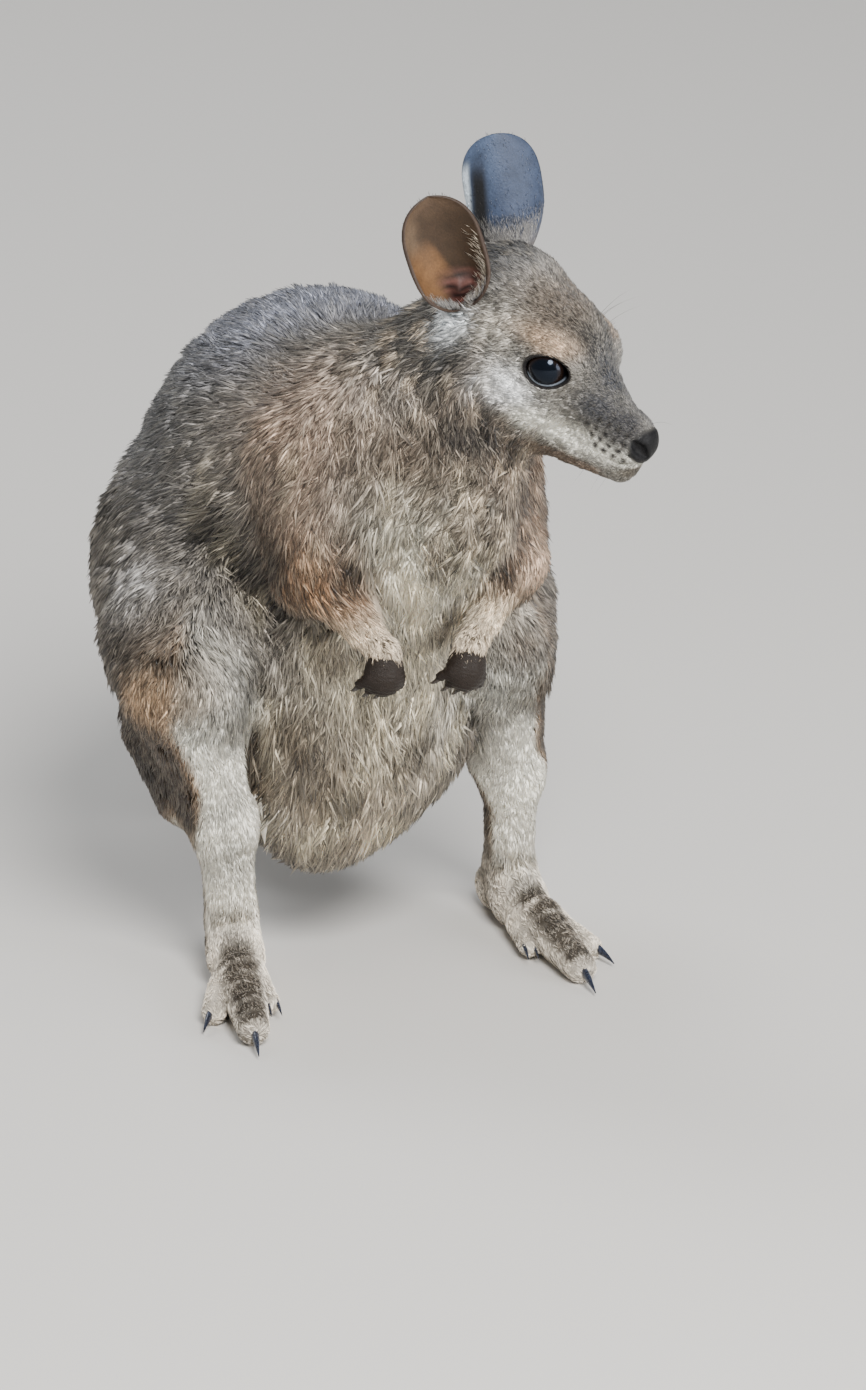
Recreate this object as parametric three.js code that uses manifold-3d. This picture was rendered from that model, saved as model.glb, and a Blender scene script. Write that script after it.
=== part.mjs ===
// A tammar wallaby standing at ease on both hind feet, its forepaws hanging in front of the belly, its
// head turned to its left and its tail laid on the ground behind it. Life size, in millimetres.
//
// The body is one smooth field: balls and tapered bones blended into each other, with the coat's depth
// included. Each named part is a sphere's mesh wrapped on that field round the part's own axis, then cut
// from its neighbours by planes and balls. Ears, eyes and claws are solids of their own.
//
// The body's own axes: +X is the animal's left, -Y is the way its hips face, +Z is up, z = 0 is the ground.
import * as THREE from "three";
import { mergeVertices } from "three/addons/utils/BufferGeometryUtils.js";
import Module from "manifold-3d";

// ---- driving dimensions, mm -------------------------------------------------------------------
const GAP = 0.4; // between touching parts
const REACH_STEP = 1.5; // step of a ray that looks for the skin

const NOSE_TIP = [87, -113, 257];
const HEAD_YAW = 34; // degrees, towards the animal's left
const HEAD_PITCH = 18; // degrees, nose down
const HEAD_ROLL = 1; // degrees, left side up
const EYE_RADIUS = 9.4;
const EYE_OPENING = [6, 9.8, 7.2]; // half sizes of the cut between the lids: out, ahead, up
const EYE_AT = { forward: -53.2, side: 16.5, up: 10.1 };
const EAR_LENGTH = 59.5;
const EAR_HALF_WIDTH = 17;
const EAR_WIDEST = 0.56; // of the way from root to tip
const EAR_THICKNESS = 1.7;
const SIDES = [
  { name: "right", sign: -1 },
  { name: "left", sign: 1 },
];

// Joints of the limbs, by side.
const LIMBS = {
  right: {
    shoulder: [-37, -23, 236],
    elbow: [-42, -38, 191],
    wrist: [-27, -79, 164.5],
    handTo: [-30, -83, 140.5],
    hip: [-46, 62, 168],
    knee: [-94, -16, 140],
    calf: [-84, 16, 110],
    calfEnd: [-78, 16, 80],
    shin: [-70, -5, 72],
    ankle: [-63, 4, 24],
    footYaw: -16.7, // degrees from -Y, towards +X
  },
  left: {
    shoulder: [45, -22, 232],
    elbow: [50, -35, 184],
    wrist: [16, -70, 158.5],
    handTo: [9, -76, 134.5],
    hip: [46, 62, 168],
    knee: [50, -22, 142],
    calf: [58, 13, 120],
    calfEnd: [67, 15, 86],
    shin: [70, 5, 74],
    ankle: [77, 23, 24],
    footYaw: -5.6,
  },
};

// The tail's centre line from root to tip: place and radius.
const TAIL = [
  { at: [0, 112, 122], radius: 36 },
  { at: [6, 152, 66], radius: 26 },
  { at: [18, 192, 27], radius: 20.5 },
  { at: [42, 242, 17], radius: 18 },
  { at: [72, 298, 14.5], radius: 15.5 },
  { at: [110, 362, 11.5], radius: 12.5 },
  { at: [150, 424, 8], radius: 9 },
];

// ---- vectors and frames ------------------------------------------------------------------------
const radians = THREE.MathUtils.degToRad;
const add = (a, b) => a.map((x, i) => x + b[i]);
const scale = (a, k) => a.map((x) => x * k);
const minus = (a, b) => a.map((x, i) => x - b[i]);
const dot = (a, b) => a[0] * b[0] + a[1] * b[1] + a[2] * b[2];
const unit = (a) => scale(a, 1 / Math.hypot(...a));
const cross = (a, b) => [
  a[1] * b[2] - a[2] * b[1],
  a[2] * b[0] - a[0] * b[2],
  a[0] * b[1] - a[1] * b[0],
];
const mix = (a, b, t) => add(scale(a, 1 - t), scale(b, t));

// A frame is an origin and three unit axes. at(f, s, u) is the point f along, s to the side, u up.
function frame(origin, along, side, up) {
  return {
    origin,
    axes: [along, side, up],
    at: (f, s, u) => add(origin, add(scale(along, f), add(scale(side, s), scale(up, u)))),
  };
}

function headFrame() {
  const yaw = radians(HEAD_YAW);
  const pitch = radians(HEAD_PITCH);
  const roll = radians(HEAD_ROLL);
  const along = [Math.sin(yaw) * Math.cos(pitch), -Math.cos(yaw) * Math.cos(pitch), -Math.sin(pitch)];
  const level = [Math.cos(yaw), Math.sin(yaw), 0];
  const upright = cross(level, along).map((x) => -x);
  const side = add(scale(level, Math.cos(roll)), scale(upright, Math.sin(roll)));
  const up = minus(scale(upright, Math.cos(roll)), scale(level, Math.sin(roll)));
  return frame(NOSE_TIP, along, side, up);
}

const HEAD = headFrame();

// A direction given in the head's frame, in the body's axes.
function fromHead([f, s, u]) {
  const [along, side, up] = HEAD.axes;
  return add(scale(along, f), add(scale(side, s), scale(up, u)));
}

// A foot's frame: its origin is under the ankle, side is outwards.
function footFrame({ name, sign }) {
  const { ankle, footYaw } = LIMBS[name];
  const yaw = radians(footYaw);
  const along = [Math.sin(yaw), -Math.cos(yaw), 0];
  const outwards = scale([Math.cos(yaw), Math.sin(yaw), 0], sign);
  return frame([ankle[0], ankle[1], 0], along, outwards, [0, 0, 1]);
}

// A hand's frame: along points from the wrist to the fingertips, side outwards, up to its back.
function handFrame({ name, sign }) {
  const { wrist, handTo } = LIMBS[name];
  const along = unit(minus(handTo, wrist));
  const side = unit(cross(along, [0, -sign, 0]));
  const outwards = side[0] * sign > 0 ? side : scale(side, -1);
  const back = unit(cross(along, outwards));
  return frame(wrist, along, outwards, back[1] < 0 ? back : scale(back, -1));
}

// ---- fields: functions of a point that give its distance outside a shape -----------------------
function ball(centre, radii, axes = null) {
  const [rx, ry, rz] = radii;
  return (x, y, z) => {
    let p = [x - centre[0], y - centre[1], z - centre[2]];
    if (axes) p = [dot(p, axes[0]), dot(p, axes[1]), dot(p, axes[2])];
    const near = Math.hypot(p[0] / rx, p[1] / ry, p[2] / rz);
    const slope = Math.hypot(p[0] / (rx * rx), p[1] / (ry * ry), p[2] / (rz * rz));
    return slope < 1e-9 ? -Math.min(rx, ry, rz) : (near * (near - 1)) / slope;
  };
}

function bone(a, b, ra, rb) {
  const ab = minus(b, a);
  const length2 = dot(ab, ab);
  return (x, y, z) => {
    const p = [x - a[0], y - a[1], z - a[2]];
    const t = THREE.MathUtils.clamp(dot(p, ab) / length2, 0, 1);
    return Math.hypot(p[0] - ab[0] * t, p[1] - ab[1] * t, p[2] - ab[2] * t) - (ra + (rb - ra) * t);
  };
}

// The union of fields, with a fillet of about k.
function blend(k, ...fields) {
  return (x, y, z) => {
    let d = fields[0](x, y, z);
    for (let i = 1; i < fields.length; i++) {
      const other = fields[i](x, y, z);
      const h = Math.max(k - Math.abs(d - other), 0) / k;
      d = Math.min(d, other) - (h * h * k) / 4;
    }
    return d;
  };
}

// ---- the body's fields -------------------------------------------------------------------------
function headField() {
  const { at, axes } = HEAD;
  const cheek = (sign) =>
    blend(
      8,
      ball(at(-70, sign * 13, -6), [26, 15, 22], axes),
      ball(at(-53, sign * 15, 13), [16, 9.5, 12.5], axes), // the orbit
    );
  return blend(
    8,
    ball(at(-86, 0, 17), [28, 27, 29], axes), // the brain case
    ball(at(-62, 0, 15.5), [24, 19, 22.5], axes), // the forehead
    cheek(-1),
    cheek(1),
    bone(at(-48, 0, 2), at(-17, 0, -6), 19.5, 9.5), // the muzzle
    ball(at(-20, 0, -12), [13, 10.5, 9.5], axes), // the upper lip
    ball(at(-12, 0, -8.5), [9.3, 8, 8.8], axes), // the nose
    bone(at(-68, 0, -21.5), at(-15.5, 0, -23.5), 16.2, 7.8), // the lower jaw
  );
}

function trunkField() {
  return blend(
    26,
    ball([0, 66, 154], [86, 82, 92]), // the haunches
    ball([0, 52, 204], [79, 77, 84]), // the arched back
    ball([-4, 22, 130], [70, 65, 78]), // the belly
    ball([-22, 10, 84], [33, 34, 41]), // where it hangs lowest, beside the right shank
    ball([0, -6, 200], [56, 54, 72]), // the ribs
    ball([0, -14, 236], [52, 46, 44]), // the shoulders
    ball([2, -38, 208], [34, 27, 44]), // the breast
  );
}

const NECK = [[8, -26, 248], HEAD.at(-92, 0, 6)];
const THROAT = [[14, -46, 218], HEAD.at(-78, 0, -14)];
const neckField = () => blend(12, bone(...NECK, 40, 27), bone(...THROAT, 32, 18));

function tailField() {
  const links = TAIL.slice(1).map((p, i) => bone(TAIL[i].at, p.at, TAIL[i].radius, p.radius));
  return blend(6, ...links);
}

function upperArmField({ name }) {
  const { shoulder, elbow } = LIMBS[name];
  return bone(shoulder, elbow, 24, 17);
}

function forearmField({ name }) {
  const { elbow, wrist } = LIMBS[name];
  return bone(elbow, wrist, 13.5, 6.5);
}

// The five fingers fan out from the palm's far edge and curl under it: their place across the palm at the
// root and at the tip, and the tip's distance from the wrist.
const FINGERS = [-2, -1, 0, 1, 2].map((i) => ({
  root: i * 3.3,
  tip: i * 4.7,
  length: 17 - i * i * 0.8,
}));

function palmField(side) {
  const { at, axes } = handFrame(side);
  return blend(
    5,
    forearmField(side),
    bone(at(0, 0, 0), at(8, 0, 0), 7, 7),
    ball(at(10, 0, 0), [9, 9, 6.5], axes),
  );
}

function thighField({ name }) {
  const { hip, knee } = LIMBS[name];
  return blend(14, bone(hip, knee, 50, 26), bone(hip, mix(hip, knee, 0.6), 52, 40));
}

function shankField({ name }) {
  const { knee, calf, calfEnd, shin, ankle } = LIMBS[name];
  return blend(12, bone(knee, shin, 24, 14), bone(shin, ankle, 13.5, 11.5), bone(calf, calfEnd, 24, 16));
}

function footField(side) {
  const { at, axes } = footFrame(side);
  return blend(
    7,
    bone(at(0, 0, 24), at(14, 0, 15), 12.5, 12),
    ball(at(-12, 0, 10.5), [16, 11, 12], axes), // the heel
    ball(at(20, 0, 9.5), [36, 12, 11], axes), // the instep
    bone(at(40, 1, 10), at(93, 1, 7), 11, 7.5), // the long fourth toe
  );
}

function fifthToeField(side) {
  const { at } = footFrame(side);
  return bone(at(40, 8, 7.5), at(66, 15, 5.5), 7.5, 6);
}

function pairedToesField(side) {
  const { at } = footFrame(side);
  return bone(at(34, -6, 7.5), at(58, -10, 5.5), 7, 5); // the second and third toes share one skin
}

// The claws of the toes, in the foot's frame.
const TOE_CLAWS = [
  { of: "4", root: [95, 1, 7], tip: [113, 1, 2], radius: 3.6 },
  { of: "5", root: [68, 16, 6], tip: [80, 21, 2], radius: 3 },
  { of: "3", root: [60, -8.8, 6.5], tip: [69, -9.5, 3.5], radius: 1.5 },
  { of: "2", root: [60, -12.6, 6.5], tip: [68, -14, 3.5], radius: 1.5 },
];

// The axis that the trunk is wrapped round, from the haunches to the shoulders.
const SPINE = [
  [0, 92, 140],
  [0, 58, 166],
  [0, 22, 188],
  [0, -8, 206],
  [0, -16, 226],
];

// Limbs blend into the trunk at the root only, so a forearm or shank near the belly stays free of it.
const torsoField = blend(18, trunkField(), neckField(), tailField());
const skullField = blend(14, headField(), neckField());
const armField = (side) => blend(9, upperArmField(side), forearmField(side));
const legField = (side) => blend(12, thighField(side), shankField(side));
const bodyField = blend(16, torsoField, ...SIDES.map(upperArmField), ...SIDES.map(thighField));

// ---- skins -------------------------------------------------------------------------------------
const TOE_MESH = { rings: 5, sides: 7, cap: 2 };

function skullSkin(grow) {
  const axis = [HEAD.at(-92, 0, 8), HEAD.at(-55, 0, 2), HEAD.at(-14, 0, -8)];
  return wrap(skullField, axis, { rings: 16, sides: 17, grow });
}

function forearmSkin(side, grow) {
  const { elbow, wrist } = LIMBS[side.name];
  const field = blend(9, armField(side), palmField(side));
  return wrap(field, [elbow, mix(elbow, wrist, 0.5), wrist], { rings: 9, sides: 9, grow });
}

function shankSkin(side, grow) {
  const { knee, shin, ankle } = LIMBS[side.name];
  const axis = [knee, mix(knee, shin, 0.5), shin, ankle];
  return wrap(legField(side), axis, { rings: 14, sides: 11, cap: 4, grow });
}

// ---- solids ------------------------------------------------------------------------------------
const wasm = await Module();
wasm.setup();

// A closed geometry, whichever way its faces point, as a solid with its faces pointing out.
function solidFrom(geometry) {
  const bare = new THREE.BufferGeometry().setAttribute("position", geometry.getAttribute("position"));
  if (geometry.index) bare.setIndex(geometry.index);
  const merged = mergeVertices(bare, 1e-4);
  const triVerts = new Uint32Array(merged.index.array);
  const make = () =>
    new wasm.Manifold(
      new wasm.Mesh({ numProp: 3, vertProperties: merged.attributes.position.array, triVerts }),
    );
  const solid = make();
  if (solid.volume() > 0) return solid;
  for (let i = 0; i < triVerts.length; i += 3)
    [triVerts[i + 1], triVerts[i + 2]] = [triVerts[i + 2], triVerts[i + 1]];
  return make();
}

// How far a ray from inside a field goes before the field reaches `level`.
function reach(field, from, direction, level) {
  const value = (s) => field(...add(from, scale(direction, s))) - level;
  let far = 0;
  while (value(far) < 0) far += REACH_STEP;
  let near = Math.max(far - REACH_STEP, 0);
  while (far - near > 0.005) {
    const middle = (near + far) / 2;
    if (value(middle) < 0) near = middle;
    else far = middle;
  }
  return far;
}

// A sphere's mesh drawn out along an axis and wrapped on a field. Its points lie on rays that leave the
// axis square to it, and that fan out round its two ends in `cap` rows each.
function wrap(field, axis, { rings, sides, cap = Math.floor(rings / 3), grow = 0 }) {
  const curve = new THREE.CatmullRomCurve3(axis.map((p) => new THREE.Vector3(...p)));
  const geometry = new THREE.SphereGeometry(1, sides, rings);
  const points = geometry.getAttribute("position");
  const uv = geometry.getAttribute("uv");
  const known = new Map();
  for (let n = 0; n < points.count; n++) {
    const row = Math.round((1 - uv.getY(n)) * rings);
    const pole = row === 0 || row === rings;
    const column = pole ? 0 : Math.round(uv.getX(n) * sides) % sides;
    const key = row * sides + column;
    if (!known.has(key)) {
      const t = THREE.MathUtils.clamp((row - cap) / (rings - 2 * cap), 0, 1);
      const past = Math.max(cap - row, 0) - Math.max(row - (rings - cap), 0);
      const tilt = (-past / cap) * (Math.PI / 2);
      const from = curve.getPointAt(t).toArray();
      const along = curve.getTangentAt(t).toArray();
      const side = unit(cross(along, Math.abs(along[0]) > 0.9 ? [0, 0, 1] : [1, 0, 0]));
      const turn = (2 * Math.PI * column) / sides;
      const square = add(scale(side, Math.cos(turn)), scale(cross(along, side), Math.sin(turn)));
      const direction = add(scale(square, Math.cos(tilt)), scale(along, Math.sin(tilt)));
      known.set(key, add(from, scale(direction, reach(field, from, direction, grow))));
    }
    points.setXYZ(n, ...known.get(key));
  }
  return solidFrom(geometry);
}

const join = (solids) => solids.reduce((a, b) => a.add(b));

// An ellipsoid for an eye or for cutting, grown by `grow`.
function ellipsoid({ centre, radii, axes = [[1, 0, 0], [0, 1, 0], [0, 0, 1]], segments = 14, grow = 0 }) {
  const geometry = new THREE.SphereGeometry(1, segments, segments / 2);
  geometry.scale(...radii.map((r) => r + grow));
  geometry.applyMatrix4(new THREE.Matrix4().makeBasis(...axes.map((a) => new THREE.Vector3(...a))));
  geometry.translate(...centre);
  return solidFrom(geometry);
}

// A claw: a horn that tapers along a bend, deeper than it is wide.
function claw({ root, tip, bend, radius, segments = 3, sides = 6, grow = 0 }) {
  const middle = add(mix(root, tip, 0.5), bend);
  const curve = new THREE.QuadraticBezierCurve3(...[root, middle, tip].map((p) => new THREE.Vector3(...p)));
  const along = unit(minus(tip, root));
  const side = unit(cross(along, bend));
  const up = cross(side, along);
  const geometry = new THREE.CylinderGeometry(1, 1, 1, sides, segments);
  const points = geometry.getAttribute("position");
  for (let n = 0; n < points.count; n++) {
    const t = points.getY(n) + 0.5;
    const r = radius * (1 - 0.86 * t ** 1.4) + grow;
    const across = scale(side, points.getX(n) * r * 0.72);
    const place = add(curve.getPoint(t).toArray(), add(across, scale(up, points.getZ(n) * r)));
    points.setXYZ(n, ...place);
  }
  return solidFrom(geometry);
}

// ---- ears --------------------------------------------------------------------------------------
// Where each ear grows from, the way it points and the way its hollow faces, in the head's frame.
const EARS = {
  right: { root: [-98.2, -19.4, 16.4], to: [-0.36, -0.36, 0.88], faces: [0.46, -0.76, 0.36] },
  left: { root: [-95.8, 16.6, 25.2], to: [-0.515, 0.06, 0.88], faces: [-0.38, 0.8, -0.45] },
};

// How far the leaf bends round to each side, in degrees, by the way from root to tip.
const EAR_CURL = [[0, 150], [0.25, 112], [0.55, 66], [1, 30]];

function lookUp(table, x) {
  const i = Math.max(table.findIndex(([at]) => at >= x), 1);
  const [from, start] = table[i - 1];
  const [to, end] = table[i];
  return THREE.MathUtils.mapLinear(x, from, to, start, end);
}

// A cupped leaf rolled into a tube at its root. Each ring goes round the outside and back inside.
function ear({ name }) {
  const { root, to, faces } = EARS[name];
  const along = unit(fromHead(to));
  const facing = fromHead(faces);
  const open = unit(minus(facing, scale(along, dot(facing, along))));
  const side = cross(along, open);
  const rows = 8;
  const columns = 8;
  const rings = [];
  for (let i = 0; i <= rows; i++) {
    const h = 1 - (1 - i / rows) ** 1.6; // rings crowd towards the rounded tip
    const low = h < EAR_WIDEST;
    const off = Math.abs(h - EAR_WIDEST) / (low ? EAR_WIDEST : 1 - EAR_WIDEST);
    const fall = low ? Math.max(1 - off ** 2, 0.12) ** 0.9 : Math.max(1 - off ** 3.2, 0.012) ** 0.5;
    const halfWidth = EAR_HALF_WIDTH * fall;
    const curl = radians(lookUp(EAR_CURL, h));
    const radius = halfWidth / (curl < Math.PI / 2 ? Math.sin(curl) : 1);
    const spine = add(HEAD.at(...root), add(scale(along, EAR_LENGTH * h), scale(open, 3 * h * h)));
    const outside = [];
    const inside = [];
    for (let j = 0; j <= columns; j++) {
      const angle = curl * ((2 * j) / columns - 1);
      const shell = (r) =>
        add(spine, add(scale(side, r * Math.sin(angle)), scale(open, radius - r * Math.cos(angle))));
      outside.push(shell(radius));
      inside.push(shell(Math.max(radius - EAR_THICKNESS, radius * 0.35)));
    }
    rings.push([...outside, ...inside.reverse()]);
  }
  return shellOf(rings);
}

// Skins rings that bend back on themselves: the ends are closed by quads between the two layers.
function shellOf(rings) {
  const points = [];
  const count = rings[0].length;
  const quad = (a, b, c, d) => points.push(...a, ...b, ...c, ...a, ...c, ...d);
  for (let n = 0; n < count; n++) {
    const m = (n + 1) % count;
    for (let i = 0; i + 1 < rings.length; i++)
      quad(rings[i][n], rings[i][m], rings[i + 1][m], rings[i + 1][n]);
  }
  for (let n = 0; n + 1 < count / 2; n++) {
    const back = count - 1 - n;
    quad(rings[0][n + 1], rings[0][n], rings[0][back], rings[0][back - 1]);
    quad(rings.at(-1)[n], rings.at(-1)[n + 1], rings.at(-1)[back - 1], rings.at(-1)[back]);
  }
  const geometry = new THREE.BufferGeometry();
  geometry.setAttribute("position", new THREE.Float32BufferAttribute(points, 3));
  return solidFrom(geometry);
}

// ---- cuts --------------------------------------------------------------------------------------
// A plane keeps what lies on its far side. The two parts that meet at it are half a gap away from it.
const plane = (point, normal) => ({ point, normal: unit(normal) });
function beyond(solid, { point, normal }, gap = GAP / 2) {
  return solid.trimByPlane(normal, dot(point, normal) + gap);
}

function before(solid, { point, normal }) {
  return solid.trimByPlane(scale(normal, -1), GAP / 2 - dot(point, normal));
}

const GROUND = plane([0, 0, -GAP / 2], [0, 0, 1]);
const NAPE = plane(HEAD.at(-98, 0, 0), add(HEAD.axes[0], scale(HEAD.axes[2], 0.25)));
const JAW_LINE = plane(HEAD.at(-60, 0, -36), HEAD.axes[2]);
const COLLAR = plane([6, -24, 256], [0.15, -0.6, 0.8]);
const WAIST = plane([0, 0, 172], [0, -0.55, 1]);
const FLANK = plane([0, 64, 140], [0, 1, -0.1]);
const TAIL_ROOT = plane([0, 128, 96], [0.05, 0.75, -0.66]);
const TAIL_MIDDLE = plane(TAIL[3].at, minus(TAIL[4].at, TAIL[2].at));
const TAIL_END = plane(TAIL[5].at, minus(TAIL[6].at, TAIL[4].at));

function elbowPlane({ name }) {
  const { elbow, wrist } = LIMBS[name];
  return plane(mix(elbow, wrist, 0.2), minus(wrist, elbow));
}

function wristPlane({ name }) {
  const { wrist, handTo } = LIMBS[name];
  return plane(wrist, minus(handTo, wrist));
}

// The knee is mitred: its plane halves the bend between the thigh and the shank.
function kneePlane({ name }) {
  const { hip, knee, ankle } = LIMBS[name];
  const inwards = unit(minus(knee, hip));
  const outwards = unit(minus(ankle, knee));
  return plane(mix(knee, ankle, 0.08), add(inwards, outwards));
}

const anklePlane = ({ name }) => plane(add(LIMBS[name].ankle, [0, 0, 8]), [0, 0, -1]);

// The skull's share of the head and neck's common skin.
function skullSolid(grow) {
  const gap = GAP / 2 - grow;
  return beyond(beyond(skullSkin(grow), NAPE, gap), JAW_LINE, gap);
}

// The balls that part an arm and a thigh from the trunk.
function armCutter({ name, sign }, grow) {
  const { shoulder, elbow } = LIMBS[name];
  const along = unit(minus(elbow, shoulder));
  const side = unit(cross(along, [0, 1, 0]));
  const axes = [along, side, cross(along, side)];
  const centre = add(mix(shoulder, elbow, 0.55), [sign * 9, -2, 0]);
  return ellipsoid({ centre, radii: [54, 27, 31], axes, grow });
}

function thighCutter({ name, sign }, grow) {
  const { hip, knee } = LIMBS[name];
  const along = unit(minus(knee, hip));
  const side = unit(cross(along, [0, 0, 1]));
  const axes = [along, side, cross(along, side)];
  const centre = add(mix(hip, knee, 0.42), [sign * 14, 0, -12]);
  return ellipsoid({ centre, radii: [86, 42, 60], axes, grow });
}

// ---- the parts ---------------------------------------------------------------------------------
const COLOURS = {
  coat: [0x6f675d, 0.85],
  pale: [0xa39b8c, 0.85],
  rusty: [0x7d6450, 0.85],
  dark: [0x3a322c, 0.8],
  horn: [0x1b1d22, 0.35],
  eye: [0x0c0b0d, 0.08],
};

function part(name, solid, look) {
  const whole = solid.decompose().reduce((a, b) => (a.volume() > b.volume() ? a : b));
  const { vertProperties, triVerts } = whole.getMesh();
  const geometry = new THREE.BufferGeometry();
  geometry.setAttribute("position", new THREE.BufferAttribute(new Float32Array(vertProperties), 3));
  geometry.setIndex(new THREE.BufferAttribute(new Uint32Array(triVerts), 1));
  geometry.computeVertexNormals();
  const [color, roughness] = COLOURS[look];
  const mesh = new THREE.Mesh(geometry, new THREE.MeshStandardMaterial({ color, roughness, metalness: 0 }));
  mesh.name = name;
  return mesh;
}

function makeHead() {
  const group = new THREE.Group();
  const nose = { centre: HEAD.at(-4, 0, -7), radii: [9.5, 11.5, 12], axes: HEAD.axes, segments: 12 };
  const mouth = { centre: HEAD.at(-42, 0, -40), radii: [48, 28, 18.5], axes: HEAD.axes, segments: 16 };
  const skull = skullSolid(0);
  group.add(part("nose_pad", skull.intersect(ellipsoid(nose)), "dark"));
  const blunt = skull.subtract(ellipsoid({ ...nose, grow: GAP }));
  group.add(part("jaw", blunt.intersect(ellipsoid(mouth)), "pale"));
  let head = blunt.subtract(ellipsoid({ ...mouth, grow: GAP }));
  for (const side of SIDES) {
    const eyeball = {
      centre: HEAD.at(EYE_AT.forward, side.sign * EYE_AT.side, EYE_AT.up),
      radii: [EYE_RADIUS, EYE_RADIUS, EYE_RADIUS],
      segments: 12,
    };
    const out = unit(fromHead([0.3, side.sign * 0.95, 0.05]));
    const ahead = unit(cross(out, HEAD.axes[2]));
    const opening = {
      centre: add(eyeball.centre, scale(out, EYE_RADIUS)),
      radii: EYE_OPENING,
      axes: [out, ahead, cross(out, ahead)],
      segments: 12,
    };
    group.add(part(`eye_${side.name}`, ellipsoid(eyeball), "eye"));
    group.add(part(`ear_${side.name}`, ear(side).subtract(skullSkin(GAP)), "coat"));
    head = head.subtract(ellipsoid({ ...eyeball, grow: GAP })).subtract(ellipsoid(opening));
  }
  group.add(part("head", head, "coat"));
  return group;
}

function makeTrunk() {
  const group = new THREE.Group();
  let trunk = wrap(bodyField, SPINE, { rings: 20, sides: 20, cap: 6 });
  for (const side of SIDES) {
    trunk = trunk.subtract(armCutter(side, GAP)).subtract(thighCutter(side, GAP));
    trunk = trunk.subtract(beyond(forearmSkin(side, GAP), elbowPlane(side), -GAP / 2));
    trunk = trunk.subtract(beyond(shankSkin(side, GAP), kneePlane(side), -GAP / 2));
  }
  trunk = before(before(trunk, TAIL_ROOT), COLLAR).subtract(skullSolid(GAP));
  const lower = before(trunk, WAIST);
  group.add(part("chest", beyond(trunk, WAIST), "coat"));
  group.add(part("belly", before(lower, FLANK), "pale"));
  group.add(part("rump", beyond(lower, FLANK), "coat"));
  const collar = wrap(torsoField, [NECK[0], mix(...NECK, 0.5), NECK[1]], { rings: 14, sides: 18, cap: 4 });
  const arms = SIDES.map((side) => armCutter(side, GAP));
  group.add(part("neck", beyond(collar, COLLAR).subtract(join([skullSolid(GAP), ...arms])), "coat"));
  return group;
}

function makeTail() {
  const group = new THREE.Group();
  const skin = wrap(torsoField, TAIL.map((p) => p.at), { rings: 26, sides: 11, cap: 3 });
  const whole = beyond(beyond(skin, GROUND), TAIL_ROOT);
  group.add(part("tail_root", before(whole, TAIL_MIDDLE), "coat"));
  group.add(part("tail_middle", before(beyond(whole, TAIL_MIDDLE), TAIL_END), "coat"));
  group.add(part("tail_end", beyond(whole, TAIL_END), "dark"));
  return group;
}

function makeArm(side) {
  const group = new THREE.Group();
  const { shoulder, elbow } = LIMBS[side.name];
  const humerus = [shoulder, mix(shoulder, elbow, 0.5), elbow];
  const sleeve = wrap(blend(16, torsoField, armField(side)), humerus, { rings: 14, sides: 14 });
  const upper = before(sleeve.intersect(armCutter(side, 0)), elbowPlane(side)).subtract(skullSolid(GAP));
  group.add(part(`upper_arm_${side.name}`, upper, "rusty"));
  const fore = before(beyond(forearmSkin(side, 0), elbowPlane(side)), wristPlane(side));
  group.add(part(`forearm_${side.name}`, fore, "pale"));
  const { at, axes } = handFrame(side);
  const palm = wrap(palmField(side), [at(-2, 0, 0), at(5, 0, 0), at(11, 0, 0)], { rings: 6, sides: 8 });
  const fingers = FINGERS.map(({ root, tip, length }) => {
    const ends = [at(11, root, 1), at(length, tip, -4)];
    return wrap(bone(...ends, 3, 2.5), ends, { rings: 4, sides: 5, cap: 1 });
  });
  let hand = beyond(join([palm, ...fingers]), wristPlane(side));
  FINGERS.forEach(({ tip, length }, i) => {
    const horn = {
      root: at(length + 0.6, tip, -4.6),
      tip: at(length + 3.4, tip * 1.15, -10),
      bend: scale(axes[0], 1.4),
      radius: 1.5,
      segments: 2,
      sides: 4,
    };
    group.add(part(`finger_claw_${side.name}_${i + 1}`, claw(horn), "horn"));
    hand = hand.subtract(claw({ ...horn, grow: GAP }));
  });
  group.add(part(`hand_${side.name}`, hand, "dark"));
  return group;
}

function makeLeg(side) {
  const group = new THREE.Group();
  const { hip, knee } = LIMBS[side.name];
  const femur = [hip, mix(hip, knee, 0.5), knee];
  const haunch = wrap(blend(16, torsoField, legField(side)), femur, { rings: 15, sides: 16 });
  const share = haunch.intersect(thighCutter(side, 0)).subtract(armCutter(side, GAP));
  group.add(part(`thigh_${side.name}`, before(share, kneePlane(side)), "rusty"));
  const shank = shankSkin(side, 0);
  group.add(part(`shank_${side.name}`, before(beyond(shank, kneePlane(side)), anklePlane(side)), "pale"));
  const { at, axes } = footFrame(side);
  const sole = wrap(footField(side), [at(-16, 0, 11), at(20, 0, 10), at(60, 1, 8), at(92, 1, 7)], {
    rings: 14,
    sides: 11,
    cap: 3,
  });
  const fifth = wrap(fifthToeField(side), [at(40, 8, 7), at(66, 15, 5.5)], TOE_MESH);
  const paired = wrap(pairedToesField(side), [at(34, -6, 7), at(58, -10, 5.5)], TOE_MESH);
  let foot = beyond(beyond(join([sole, fifth, paired, shank]), anklePlane(side)), GROUND);
  for (const { of, root, tip, radius } of TOE_CLAWS) {
    const horn = { root: at(...root), tip: at(...tip), radius, bend: scale(axes[2], radius * 0.6) };
    group.add(part(`toe_claw_${side.name}_${of}`, claw(horn), "horn"));
    foot = foot.subtract(claw({ ...horn, grow: GAP }));
  }
  group.add(part(`foot_${side.name}`, foot, "dark"));
  return group;
}

const model = new THREE.Group();
model.add(makeHead(), makeTrunk(), makeTail(), ...SIDES.map(makeArm), ...SIDES.map(makeLeg));

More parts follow.
